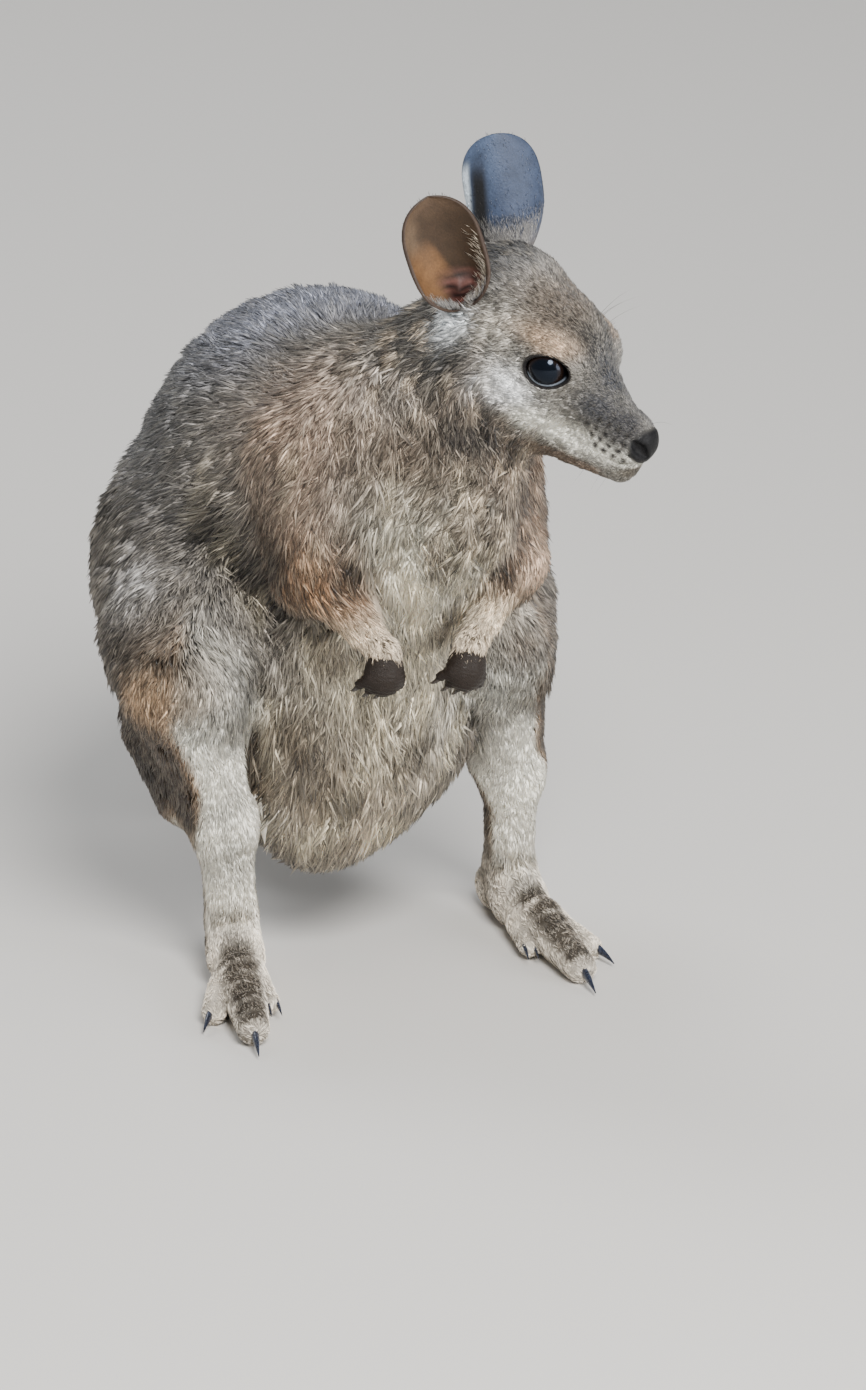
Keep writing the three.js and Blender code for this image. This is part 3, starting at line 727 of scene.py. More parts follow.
def head_colours(p):
    """The face's spots, its pale stripe, painted shade along the underside of the jaw and the whisker pores.
    """
    q = in_head(p) * vec(1, 0, 1) + np.abs(in_head(p)) * vec(0, 1, 0)
    c = painted(np.tile(srgb(142, 138, 130), (len(p), 1)), q, HEAD_SPOTS)
    stripe = np.maximum.reduce([spot(q, centre, (8, 9, 5.6)) for centre in STRIPE])
    c = mix(c, srgb(252, 250, 238), np.clip(1.5 * stripe, 0, 1))
    c = painted(c, q, EYEBROW_SPOTS)
    # painted shade on the underside of the jaw
    jaw_shade = ease(-q[:, 2:3], 24.5, 28) * ease(-q[:, 0:1], 16, 26)
    c = mix(c, srgb(118, 101, 86), np.clip(1.2 * jaw_shade, 0, 1))
    c = painted(c, q, EDGE_SPOTS)
    return mix(c, srgb(22, 21, 23), np.clip(1.2 * pore_mask(q), 0, 1))


def foot_colours(p, n):
    """Dark along the top of the foot, pale at its sides and its toes."""
    total = 0
    share = 0
    for name in LIMBS:
        place = foot_frame(name)
        q = seen_from(p, place)
        mine = np.exp(-np.clip(norm3(*q.T) - 60, 0, 400) / 20)[:, None]
        forward = q[:, 0:1]
        top = np.maximum(n[:, 2:3], (n @ place[1][0])[:, None] * ease(forward, 60, 80) * 0.9)
        dark = ease(top, 0.2, 0.75) * ease(-np.abs(q[:, 1:2] - 1), mix(-10, -14, ease(forward, 20, 60)), -4)
        dark = dark * ease(forward, 12, 30) * ease(-forward, -101, -93)
        dark = np.clip(dark * (1 + 0.25 * waves(p, 5, 3)[:, None]), 0, 1)
        total = total + mine * mix(srgb(226, 216, 200), srgb(92, 84, 74), dark)
        share = share + mine
    return total / share


# Spots of colour that run over from one part of the body to the next, in the head's axes, on both
# sides of the body, or on one side of it: place, colour, strength, centre, radii.
SHADED = [
    ("body", (108, 95, 82), 0.9, (11, -65, 248), (24, 18, 14)),
    # painted shade behind the jaw and where the head meets the neck
    ("head", (56, 50, 45), 1.3, (-71, 36, -28), (13, 14, 9)),
    ("head", (50, 48, 46), 1.1, (-94, 36, -3), (9, 13, 15)),
    ("head", (62, 60, 60), 0.8, (-90, 26, 40), (5, 14, 5)),
    # painted shade in the groove behind the right arm, low and high
    ("right", (46, 39, 33), 1.2, (62, -35, 194), (7, 16, 22)),
    ("right", (92, 84, 76), 0.5, (60, -34, 234), (7, 14, 14)),
    # painted shade in the groove behind the left arm
    ("left", (50, 43, 37), 1.2, (70, -33, 196), (8, 14, 24)),
    ("body", (78, 70, 62), 1.1, (118, 8, 157), (16, 24, 11)),
    # pale silver hairs at the rump's edge, made brighter by painted rim light
    ("body", (206, 204, 202), 0.9, (112, 16, 188), (14, 18, 20)),
    # painted shadow under the fold of the coat over the knee
    ("body", (56, 46, 36), 1.1, (109, -32, 155), (18, 14, 6)),
    ("body", (198, 166, 132), 1.0, (117, -31, 139), (11, 16, 9)),
    # painted shadow under the fold of the coat, lower down
    ("body", (98, 88, 74), 0.9, (66, -42, 122), (17, 16, 12)),
    ("right", (128, 96, 68), 0.7, (41, -52, 186), (14, 18, 12)),
    # painted light on the left elbow, making it paler than the right one
    ("left", (210, 182, 158), 0.8, (56, -50, 187), (14, 18, 14)),
    ("body", (52, 44, 37), 1.2, (104, 12, 92), (15, 16, 28)),
    # painted shade between the legs
    ("body", (84, 74, 64), 0.7, (40, 2, 96), (9, 34, 22)),
    ("left", (98, 89, 79), 1.0, (54, -44, 148), (18, 18, 14)),
    ("left", (112, 94, 80), 0.8, (50, -52, 222), (12, 14, 16)),
    # painted shadow under the front end of the fold of the coat
    ("right", (100, 89, 72), 0.8, (48, -27, 115), (15, 14, 10)),
    ("head", (234, 238, 240), 1.5, (-97, 29, 13), (7, 8, 8)),
]
# the fold of the coat over the knees, with painted shadow under it, and the crease across the crown in the
# head's axes, with painted shade in it
SKIRT = [vec(108, -34, 158), vec(86, -30, 140), vec(64, -24, 124), vec(44, -30, 113)]
FURROW = [vec(-92, 22, 42), vec(-88, 4, 46), vec(-80, -4, 46), vec(-72, -8, 43)]


# spots of the trunk: its sides and shoulders, round the knees, and the chest and the belly
FLANK_SPOTS = [
    ((110, 105, 98), 0.9, (90, 18, 178), (26, 34, 22)),
    ((170, 150, 134), 1.2, (44, -30, 258), (34, 34, 30)),
]
KNEE_SPOTS = [((122, 112, 100), 0.9, (70, -14, 128), (22, 40, 18))]
BREAST_SPOTS = [
    ((250, 245, 224), 1.4, (2, -76, 194), (30, 30, 36)),
    ((132, 120, 100), 1.0, (12, -74, 240), (34, 24, 16)),
    ((200, 190, 166), 1.1, (-4, -50, 138), (42, 34, 32)),
    ((220, 213, 198), 1.1, (34, -44, 118), (24, 30, 34)),
    ((212, 196, 172), 1.0, (-26, -20, 86), (40, 40, 24)),
]


def trunk_colours(p, mirrored, n):
    """Grey on the back, browner and darker at the sides, pale and in locks in front, with painted sky light
    where the back faces up and painted shade on the rear where it faces sideways or down.
    """
    y, z, up, ahead = p[:, 1:2], p[:, 2:3], n[:, 2:3], -n[:, 1:2]
    c = mix(srgb(134, 127, 118), srgb(107, 107, 108), ease(y, -5, 75))
    # painted sky light: paler and bluer where the back faces up
    c = mix(c, srgb(134, 137, 150), ease(up, 0.45, 0.95) * ease(y, 5, 45))
    # painted shade on the rear, where it faces sideways or down
    c = mix(c, srgb(80, 80, 82), 0.8 * ease(y, 40, 95) * ease(-up, -0.55, 0.0))
    c = painted(c, mirrored, FLANK_SPOTS)
    c = mix(c, srgb(166, 158, 144), 0.9 * ease(ahead, 0.2, 0.8) * ease(z, 150, 60))
    c = painted(painted(c, mirrored, KNEE_SPOTS), p, BREAST_SPOTS)
    for colour, size, seed in (((240, 228, 200), 12, 17), ((92, 80, 64), 14, 18)):
        locks = ease(waves(p * vec(1, 1, 0.35), size, seed), 0.2, 0.9)[:, None]
        c = mix(c, srgb(*colour), 0.65 * locks * ease(ahead, 0.2, 0.7))
    return c


def body_colours(p, n, w):
    """The coat's own colour at points of the skin, from their normals and weights."""
    z = p[:, 2:3]
    mirrored = np.concatenate([np.abs(p[:, 0:1]), p[:, 1:]], 1)
    up, ahead = n[:, 2:3], -n[:, 1:2]
    neck = np.tile(srgb(122, 108, 94), (len(p), 1))
    neck = mix(neck, srgb(114, 110, 104), ease(up, 0.0, 0.7))
    neck = mix(neck, srgb(146, 134, 112), ease(-up, 0.1, 0.7))
    neck = mix(neck, srgb(50, 43, 37), 0.85 * ease(waves(p, 6, 19), 0.05, 0.8)[:, None])
    neck = mix(neck, srgb(190, 172, 148), 0.6 * ease(waves(p, 6, 23), 0.2, 0.8)[:, None])
    arm = mix(srgb(168, 144, 124), srgb(126, 94, 66), ease(-z, -226, -192))
    forearm = mix(srgb(124, 94, 66), srgb(210, 192, 166), ease(-z, -186, -167))
    outwards = n[:, 0:1] * np.sign(p[:, 0:1])
    high = ease(z, 50, 98)
    facing = ahead + mix(0.3, -0.8, high) * outwards
    pale = ease(facing, mix(-0.4, -0.15, high), mix(0.35, 0.7, high))
    rust = mix(srgb(164, 150, 130), srgb(150, 124, 97), high)
    shank = mix(srgb(74, 60, 46), rust, ease(pale, 0.05, 0.55))
    shin = mix(srgb(252, 249, 236), srgb(214, 214, 204), ease(z, 102, 130))
    shank = mix(shank, shin, ease(pale, 0.4, 0.95))
    thigh = mix(srgb(110, 105, 99), rust, 1.1 * spot(mirrored, (110, -32, 142), (24, 24, 20)))
    thigh = mix(thigh, shank, ease(-z, -142, -116))
    tail = mix(srgb(104, 101, 98), srgb(142, 134, 122), ease(-up, 0.0, 0.8))
    tail = mix(tail, srgb(66, 60, 56), ease(p[:, 1:2], 360, 425))
    hand = np.tile(srgb(190, 174, 154), (len(p), 1))
    kinds = {
        "head": head_colours(p), "neck": neck, "trunk": trunk_colours(p, mirrored, n), "tail": tail,
        "upper_arm": arm, "forearm": forearm, "hand": hand, "thigh": thigh, "shank": shank,
        "foot": foot_colours(p, n),
    }
    total = 0
    for group, share in w.items():
        total = total + share[:, None] * kinds[kind_of(group)]
    hips = (w["thigh_right"] + w["thigh_left"] + w["trunk"])[:, None]
    # painted shadow just below the fold of the coat over the knees
    total = mix(total, srgb(66, 54, 42), near_line(mirrored + vec(0, 0, 10), SKIRT, 8) * hips)
    q = in_head(p)
    # painted shade in the crease across the crown
    total = mix(total, srgb(52, 49, 46), 0.75 * near_line(q, FURROW, 2.6))
    q = np.stack([q[:, 0], np.abs(q[:, 1]), q[:, 2]], 1)
    places = {"head": q, "body": mirrored, "left": p, "right": p * vec(-1, 1, 1)}
    for at, *row in SHADED:
        total = painted(total, places[at], [row])
    return total * (1 + 0.10 * waves(p, 14, 5) + 0.07 * waves(p, 40, 6))[:, None]


def bare_parts(p):
    """How bare the skin is, 0 to 1: the nose, the lids and the hands."""
    q = in_head(p)
    nose = nose_mask(q)
    lids = 0
    for sign in SIDES.values():
        e = seen_from(p, eye_frame(sign))
        close = (e[:, 0] > 0) & (norm3(*e.T) < EYE_RADIUS + 4)
        lids = np.maximum(lids, ease(-lid_edge(e), -1.9, -0.8) * close)
    hands = 0
    for name in LIMBS:
        h = seen_from(p, hand_frame(name))
        near = (norm3(*h.T) < HAND_REACH) & (hand_field(p, name) < 2)
        hands = np.maximum(hands, ease(h[:, 0], -0.5, 2.5) * near)
    return nose, lids, hands


# ---- the lie of the coat
def across(v, n):
    """v laid along a surface with normal n, as a unit vector."""
    return unit(v - n * (v * n).sum(1, keepdims=True))


def lie_of_coat(p, n, w):
    """Which way the hairs point, along the skin."""
    q = in_head(p)
    back, side, up = -HEAD[0], HEAD[1], HEAD[2]
    low = ease(-q[:, 2:3], -8, 22)
    high = ease(q[:, 2:3], 12, 34)
    head = back - up * 0.55 * low + up * 0.35 * high + side * np.sign(q[:, 1:2]) * 0.15
    neck = np.tile(vec(-0.45, 0.30, -0.84), (len(p), 1))
    front = ease(-p[:, 1:2], -40, 55)
    trunk = mix(np.tile(vec(0, 0.80, -0.60), (len(p), 1)), vec(0, 0.12, -1), front)
    trunk = trunk + vec(0, 0.5, -0.6) * ease(-p[:, 2:3], -130, -80)
    links = [bone(p, a, b, ra, rb) for (a, ra), (b, rb) in zip(TAIL, TAIL[1:])]
    ways = np.stack([unit(b - a) for (a, _), (b, _) in zip(TAIL, TAIL[1:])])
    tail = ways[np.argmin(links, axis=0)]
    total = w["head"][:, None] * unit(head) + w["neck"][:, None] * neck
    total = total + w["trunk"][:, None] * unit(trunk) + w["tail"][:, None] * tail
    for name, limb in LIMBS.items():
        ways = {
            "upper_arm": unit(limb["elbow"] - limb["shoulder"]) * 0.8 + vec(0, 0.45, -0.2),
            "forearm": unit(limb["wrist"] - limb["elbow"]),
            "hand": unit(limb["hand_to"] - limb["wrist"]),
            "thigh": unit(limb["knee"] - limb["hip"]) * 0.25 + vec(0, 0.30, -0.85),
            "shank": unit(limb["ankle"] - limb["shin"]) + vec(0, 0.12, 0),
            "foot": foot_frame(name)[1][0] + vec(0, 0, -0.2),
        }
        for kind, way in ways.items():
            total = total + w[f"{kind}_{name}"][:, None] * unit(way)
    return across(total, n)


def turned(v, n, angle):
    """Unit tangents v turned about normals n."""
    return v * np.cos(angle)[:, None] + np.cross(n, v) * np.sin(angle)[:, None]


# ---- into Blender
MM = 0.001
eye_low, eye_high = (np.array(corner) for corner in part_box("eye_right"))
# from the body's axes to the frame's, in mm, by the middle of the right eye
SHIFT = (eye_low + eye_high) * 500 - head_at(EYE_AT["forward"], -EYE_AT["side"], EYE_AT["up"])


def make_mesh(name, points, faces, colours, material, uv=None, replaces=()):
    """A smooth mesh piece from points in millimetres. Its colours and its map go with its points."""
    mesh = bpy.data.meshes.new(name)
    faces = np.asarray(faces, dtype=np.int32)
    count, sides = faces.shape
    mesh.vertices.add(len(points))
    mesh.vertices.foreach_set("co", ((points + SHIFT) * MM).astype(F32).ravel())
    mesh.loops.add(count * sides)
    mesh.loops.foreach_set("vertex_index", faces.ravel())
    mesh.polygons.add(count)
    mesh.polygons.foreach_set("loop_start", np.arange(0, count * sides, sides, dtype=np.int32))
    mesh.update(calc_edges=True)
    mesh.polygons.foreach_set("use_smooth", np.ones(count, dtype=bool))
    layer = mesh.attributes.new("colour", "FLOAT_COLOR", "POINT")
    layer.data.foreach_set("color", np.c_[colours, np.ones(len(colours))].astype(F32).ravel())
    if uv is not None:
        layer = mesh.uv_layers.new(name="OFBake")
        layer.data.foreach_set("uv", uv[faces.ravel()].astype(F32).ravel())
    mesh.materials.append(material)
    obj = bpy.data.objects.new(name, mesh)
    bpy.context.scene.collection.objects.link(obj)
    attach(obj, "root")
    if replaces:
        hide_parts(*replaces)
    return obj


def set_inputs(node, values):
    for socket, value in values.items():
        node.inputs[socket].default_value = value


def surface_material(
    name, roughness, specular, sheen=0.0, coat=0.0, bump=0.3, grain=900, spread=0.12, glint=1.5,
):
    """A material that takes its colour from the mesh and breaks it up with grain, in grains a metre."""
    material = bpy.data.materials.new(name)
    material.use_nodes = True
    nodes, links = material.node_tree.nodes, material.node_tree.links
    shader = nodes["Principled BSDF"]
    set_inputs(shader, {
        "Specular IOR Level": specular, "Sheen Weight": sheen, "Sheen Roughness": 0.45,
        "Coat Weight": coat, "Coat Roughness": 0.04, "Coat IOR": glint,
    })
    colour = nodes.new("ShaderNodeAttribute")
    colour.attribute_name = "colour"
    place = nodes.new("ShaderNodeTexCoord")
    noise = nodes.new("ShaderNodeTexNoise")
    set_inputs(noise, {"Scale": grain, "Detail": 4})
    links.new(place.outputs["Object"], noise.inputs["Vector"])
    shade = nodes.new("ShaderNodeMapRange")
    set_inputs(shade, {"From Min": 0.3, "From Max": 0.7, "To Min": 1 - spread, "To Max": 1 + spread})
    links.new(noise.outputs["Fac"], shade.inputs["Value"])
    product = nodes.new("ShaderNodeVectorMath")
    product.operation = "SCALE"
    links.new(colour.outputs["Color"], product.inputs[0])
    links.new(shade.outputs["Result"], product.inputs["Scale"])
    links.new(product.outputs["Vector"], shader.inputs["Base Color"])
    rough = nodes.new("ShaderNodeMapRange")
    set_inputs(rough, {"To Min": roughness - 0.08, "To Max": roughness + 0.08})
    links.new(noise.outputs["Fac"], rough.inputs["Value"])
    links.new(rough.outputs["Result"], shader.inputs["Roughness"])
    if bump:
        relief = nodes.new("ShaderNodeBump")
        set_inputs(relief, {"Strength": bump, "Distance": 0.5 * MM})
        links.new(noise.outputs["Fac"], relief.inputs["Height"])
        links.new(relief.outputs["Normal"], shader.inputs["Normal"])
    return material


FUR = surface_material("fur", 0.6, 0.3, sheen=0.10, bump=0, grain=700, spread=0.10)
UNDERCOAT = surface_material("undercoat", 0.8, 0.15, bump=0.6, grain=1300, spread=0.3)
BARE = surface_material("bare_skin", 0.44, 0.2, coat=0.03, bump=1, grain=2000, spread=0.35)
EAR_SKIN = surface_material("ear_skin", 0.55, 0.3, bump=0.35, grain=1100, spread=0.14)
HORN = surface_material("horn", 0.28, 0.5, coat=0.3, bump=0.25, grain=700, spread=0.3)
EYEBALL = surface_material("eyeball", 0.13, 0.2, coat=0.16, bump=0, grain=500, spread=0.1, glint=1.4)
set_inputs(EYEBALL.node_tree.nodes["Principled BSDF"], {"Specular Tint": (0.5, 0.68, 1, 1)})

# ---- the skin
skin_points, skin_normals = (np.concatenate([patch[i] for patch in PATCHES.values()]) for i in (0, 1))
skin_points[:, 2] = np.maximum(skin_points[:, 2], 0)
sizes = [len(points) for points, _, _ in PATCHES.values()]
starts = np.cumsum([0] + sizes)
skin_quads = np.concatenate([quads + start for (_, _, quads), start in zip(PATCHES.values(), starts)])
patch_of = np.repeat(list(PATCHES), sizes)
skin_weights = weights_of(groups_at(skin_points))
nose, lids, hands = bare_parts(skin_points)
cups = np.maximum(in_ear_cup(skin_points, "right"), in_ear_cup(skin_points, "left")).astype(F32)
coat_colour = body_colours(skin_points, skin_normals, skin_weights)
short = (skin_weights["head"] + skin_weights["foot_right"] + skin_weights["foot_left"])[:, None]
# between the tufts the skin is darker than the coat, least where the coat is short or pale: partly the hairs'
# own dark bases, partly painted shade deep in the coat
pale = ease(coat_colour.mean(1), 0.45, 0.8)[:, None]
under = coat_colour * mix(mix(0.30, 0.50, short), 0.7, pale)
fold = 0.5 + 0.5 * waves(skin_points, 3.0, 9)
folds = mix(srgb(36, 24, 23), srgb(112, 68, 60), np.clip(fold, 0, 1)[:, None])
under = mix(under, folds, cups[:, None])
for share, colour in ((nose, (9, 9, 11)), (lids, (22, 19, 19)), (hands, (32, 25, 20))):
    under = mix(under, srgb(*colour), share[:, None])
bare = np.maximum.reduce([nose, lids, hands, cups])
bare_quad = bare[skin_quads].mean(1) > 0.5

soft_nodes = [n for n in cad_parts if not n.startswith(("eye", "ear", "toe_claw", "finger_claw"))]
skin = make_mesh("skin", skin_points, skin_quads, under, UNDERCOAT, replaces=soft_nodes)
skin.data.materials.append(BARE)
skin.data.polygons.foreach_set("material_index", bare_quad.astype(np.int32))
print("skin triangles", 2 * len(skin_quads))


# ---- tufts
def blades(root, mid, tip, normal, wide, shades):
    """Closed tufts with four points each: a root, two shoulders and a tip. shades is one per point."""
    run = unit(tip - root)
    side = unit(np.cross(normal, run)) * wide[:, None] / 2
    lift = across(normal, run) * wide[:, None] * 0.15
    points = np.stack([root, mid + side + lift, mid - side + lift, tip], 1)
    faces = np.array([(0, 2, 1), (1, 2, 3), (0, 1, 3), (0, 3, 2)])
    faces = np.arange(len(root))[:, None, None] * 4 + faces[None]
    points[:, :, 2] = np.maximum(points[:, :, 2], 0.02)
    return points.reshape(-1, 3), faces.reshape(-1, 3), np.stack(shades, 1).reshape(-1, 3)


# a tuft's own patch of the map, 0.003 across: its root, shoulders and tip
TUFT_MAP = vec(0.5, 0.0, 0.0, 0.45, 1.0, 0.45, 0.5, 1.0).reshape(4, 2) * 0.003


def even(x):
    """Numbers stretched to spread evenly from 0 to 1, in the same order."""
    rank = np.empty(len(x))
    rank[np.argsort(x)] = np.arange(len(x))
    return rank / len(x)


def unwrap(p, a, b):
    """The skin's own map round the axis from a to b: round it, and along it."""
    along = unit(b - a)
    side = unit(np.cross(along, vec(0.3, 0.9, 0.1)))
    q = p - a
    turn = np.arctan2(q @ np.cross(along, side), q @ side)
    return np.stack([even(turn), even(q @ along)], 1)


def tuft_map(at):
    """The map of the tufts whose roots are at these places of the skin's own map, 0 to 1."""
    return ((at * 0.994 + 0.001)[:, None] + TUFT_MAP[None]).reshape(-1, 2)


def grizzled(colour, clump, sparkle, root=0.34, dark_tips=0.2):
    """Shades of a tuft's four points: a root darkened by its own colour and by painted shade, two unlike
    shoulders and a pale or a dark tip.
    """
    n = len(colour)
    body = colour * (rng.lognormal(0, sparkle, n) * np.exp(clump))[:, None].astype(F32)
    kind = rng.random(n)
    tip = body * 1.15
    tip = np.where((kind < 0.38)[:, None], mix(body * 1.9, srgb(236, 225, 204), 0.24), tip)
    tip = np.where((kind > 1 - dark_tips)[:, None], body * 0.28, tip)
    lean = rng.uniform(0.60, 1.0, n)[:, None].astype(F32)
    return body * np.reshape(root, (-1, 1)), body * lean, body * (1.62 - lean), tip


# ---- the coat
corners = np.concatenate([skin_quads[:, [0, 1, 2]], skin_quads[:, [0, 2, 3]]])


def scatter():
    """Roots of tufts all over the skin, and the normals there."""
    a, b, c = (skin_points[corners[:, i]] for i in range(3))
    area = norm3(*np.cross(b - a, c - a).T) / 2
    total = {}
    for group, share in skin_weights.items():
        total[kind_of(group)] = total.get(kind_of(group), 0) + (area * share[corners].mean(1)).sum()
    q = in_head(skin_points)
    crowd = sum(share * COAT[kind_of(g)][3] * 1000 / total[kind_of(g)] for g, share in skin_weights.items())
    crowd = crowd * (1 + 0.8 * ease(q[:, 0], -60, -15) * skin_weights["head"])
    crowd = crowd * (1 - np.clip(bare * 1.3, 0, 1))
    crowd = crowd * (1 - 0.7 * ease(-skin_normals[:, 2], 0.75, 0.95) * (skin_points[:, 2] < 9))
    pick = np.repeat(np.arange(len(corners)), rng.poisson(area * crowd[corners].mean(1)))
    u, v = rng.random(len(pick)), rng.random(len(pick))
    flip = u + v > 1
    u, v = np.where(flip, 1 - u, u), np.where(flip, 1 - v, v)
    at = corners[pick]
    shares = [s[:, None].astype(F32) for s in (1 - u - v, u, v)]
    place = sum(s * skin_points[at[:, i]] for i, s in enumerate(shares))
    normal = unit(sum(s * skin_normals[at[:, i]] for i, s in enumerate(shares)))
    # where two patches overlap, only one of them grows tufts
    patch = patch_of[at[:, 0]]
    on_head, on_foot = patch == "head", np.char.startswith(patch, "foot")
    kept = (in_face(place) == on_head) & ((in_foot(place) == on_foot) | on_head)
    return place[kept], normal[kept]


roots, normals = scatter()
count = len(roots)
# how long, wide and deep the coat is at each root
w = weights_of(groups_at(roots))
q = in_head(roots)
length = coat_measure(w, 1).astype(F32)
width = coat_measure(w, 2).astype(F32)
depth = depth_at(roots, w).astype(F32)
muzzle = ease(q[:, 0], -44, -16) * w["head"]
rear = ease(-q[:, 0], 62, 95) * w["head"]
length = length * (1 - 0.45 * muzzle) * (1 + 1.0 * rear)
width = width * (1 - 0.35 * muzzle) * (1 + 0.45 * rear)
mirrored = np.abs(roots) * vec(1, 0, 0) + roots * vec(0, 1, 1)
skirt = near_line(mirrored, SKIRT, 9)[:, 0] * (w["trunk"] + w["thigh_right"] + w["thigh_left"])
belly = w["trunk"] * ease(-roots[:, 1], -30, 20) * ease(-roots[:, 2], -150, -80)
chest = w["trunk"] * spot(roots, (-2, -70, 205), (34, 24, 44))[:, 0]
elbow = np.exp(-np.minimum(norm3(*(mirrored - vec(46, -58, 184)).T) / 16, 5) ** 2)
fringe = belly * ease(-roots[:, 2], -104, -76)
back = w["trunk"] * ease(roots[:, 1], 0, 50) * ease(roots[:, 2], 200, 250)
length = length * (1 + 0.6 * belly + 0.5 * chest + 0.6 * skirt + 0.6 * elbow + 0.3 * fringe - 0.28 * back)
length = length * rng.lognormal(0, 0.2, count)
width = width * (1 + 0.1 * belly) * rng.uniform(0.65, 1.3, count)

# tufts lean together in clumps, each round one of them
CLUMP, ROOT_DEPTH = 30, 0.4  # tufts in a clump, and how many mm under the skin they start
seed_places = roots[rng.random(count) < 1 / CLUMP]
tree = kdtree.KDTree(len(seed_places))
for i, place in enumerate(seed_places):
    tree.insert(place, i)
tree.balance()
clump = np.array([tree.find(place)[1] for place in roots])
clump_random = rng.normal(size=(len(seed_places), 3)).astype(F32)[clump]
to_clump = seed_places[clump] - roots
to_clump = to_clump - normals * (to_clump * normals).sum(1, keepdims=True)
gather = 0.34 + 0.28 * (belly + chest) + 0.26 * w["neck"] - 0.18 * w["head"] * (1 - rear)
gather = gather * (1 - 0.6 * w["shank_right"] - 0.6 * w["shank_left"])

# how far hairs are turned aside and raised
lie = lie_of_coat(roots, normals, w)
angle = 0.26 * waves(roots, 20, 1) + 0.17 * clump_random[:, 0] + rng.normal(0, 0.17, count)
leg = w["shank_right"] + w["shank_left"] + w["foot_right"] + w["foot_left"]
sleek = w["trunk"] * ease(roots[:, 1], 0, 60)
angle = angle * (1 + 0.8 * w["neck"] - 0.5 * leg - 0.3 * sleek)
lie = turned(lie, normals, angle.astype(F32))
calm = 1 - 0.6 * leg - 0.45 * sleek
ruffle = 0.72 + calm * (0.26 * clump_random[:, 1] + 0.14 * rng.normal(size=count)) + 0.3 * skirt + 0.3 * belly
ruffle = np.clip(ruffle, 0.2, 1.5) + 0.2 * fringe


def lifted(p, n, height):
    """Points moved along n to a height over the skin."""
    return p + n * (height - evaluate(skin_value, p))[:, None]


# each tuft goes along the skin to its middle, then on along the lie of the coat there
middle = roots + lie * (0.42 * length)[:, None] + to_clump * (gather * 0.4)[:, None]
middle = lifted(middle, normals, depth * 0.5 * ruffle)
middle_normals = unit(gradient(skin_value, middle, 0.6))
onward = lie_of_coat(middle, middle_normals, weights_of(groups_at(middle)))
onward = turned(onward, middle_normals, (angle + rng.normal(0, 0.18, count)).astype(F32))
tips = middle + onward * (0.58 * length)[:, None] + to_clump * (gather * 0.6)[:, None]
tips = lifted(tips, middle_normals, depth * 0.95 * ruffle)

sparkle = 0.36 + 0.10 * w["neck"] - 0.14 * leg - 0.06 * w["head"]
seen = mix(middle, tips, 0.3)
tuft_colour = body_colours(seen, middle_normals, weights_of(groups_at(seen)))
pale_hair = ease(tuft_colour.mean(1), 0.45, 0.8)
upper_arms = w["upper_arm_right"] + w["upper_arm_left"]
locks = clump_random[:, 2] * (0.14 + 0.24 * w["neck"] + 0.10 * (upper_arms + belly))
# how dark the roots are: partly the hairs' own dark bases, partly painted shade in the coat, less on the legs
# and in pale hair
root_shade = 0.20 + 0.5 * np.maximum(leg, pale_hair)
shades = grizzled(tuft_colour, locks, sparkle, root_shade, 0.2 * (1 - pale_hair))
shades = [mix(shade, tuft_colour, 0.5 * pale_hair[:, None]) for shade in shades]
# no tuft grows in an ear or over an eye
free = np.ones(count, dtype=bool)
for name, sign in SIDES.items():
    free &= ~(in_ear_cup(roots, name) | in_ear_cup(middle, name))
    e = seen_from(tips, eye_frame(sign))
    free &= ~((lid_edge(e) < 0.6) & (e[:, 0] > 0) & (norm3(*e.T) < EYE_RADIUS + 5))

owner = np.array(GROUPS)[np.argmax(np.stack([w[g] for g in GROUPS]), 0)]
rear_half = roots[:, 1] > 30
front_of_head = q[:, 0] > -60
upright = (vec(0, 30, 60), vec(0, 30, 280))
head_axis = (head_at(-120, 0, 4), head_at(0, 0, -8))
pieces = {}  # of the coat: its tufts, the axis of its map and its slot
for part, here in (("face", front_of_head), ("crown", ~front_of_head)):
    for name in SIDES:
        half = (q[:, 1] < 0) == (name == "right")
        pieces[f"coat_{part}_{name}"] = ((owner == "head") & half & here, head_axis, "coat")
pieces["coat_neck"] = (owner == "neck", (head_at(-70, 0, 0), vec(8, -26, 240)), "coat")
for part, here, slot in (("back", rear_half, "coat"), ("front", ~rear_half, "coat_pale")):
    for name in SIDES:
        half = (roots[:, 0] < 0) == (name == "right")
        pieces[f"coat_{part}_{name}"] = ((owner == "trunk") & half & here, upright, slot)
pieces["coat_tail"] = (owner == "tail", (TAIL[1][0], TAIL[-1][0]), "coat")
for name, limb in LIMBS.items():
    arm = np.isin(owner, [f"upper_arm_{name}", f"forearm_{name}", f"hand_{name}"])
    lower = np.isin(owner, [f"shank_{name}", f"foot_{name}"])
    pieces[f"coat_arm_{name}"] = (arm, (limb["shoulder"], limb["elbow"]), "coat_tan")
    pieces[f"coat_thigh_{name}"] = (owner == f"thigh_{name}", (limb["hip"], limb["knee"]), "coat_tan")
    pieces[f"coat_shank_{name}"] = (lower, (limb["knee"], limb["ankle"]), "coat_pale")
for name, (mine, axis, slot) in pieces.items():
    mine = mine & free
    sunk = roots[mine] - normals[mine] * ROOT_DEPTH
    points, faces, colours = blades(
        sunk, middle[mine], tips[mine], middle_normals[mine], width[mine], [shade[mine] for shade in shades],
    )
    make_mesh(name, points, faces, colours, FUR, uv=tuft_map(unwrap(roots[mine], *axis)))
    print(name, "triangles", len(faces))


# ---- ears
def wrapped_quads(rows, columns):
    """The quads of a tube whose points go round it, ring after ring."""
    i, n = np.meshgrid(np.arange(rows), np.arange(columns), indexing="ij")
    m = (n + 1) % columns
    corners = [i * columns + n, i * columns + m, (i + 1) * columns + m, (i + 1) * columns + n]
    return np.stack(corners, -1).reshape(-1, 4)


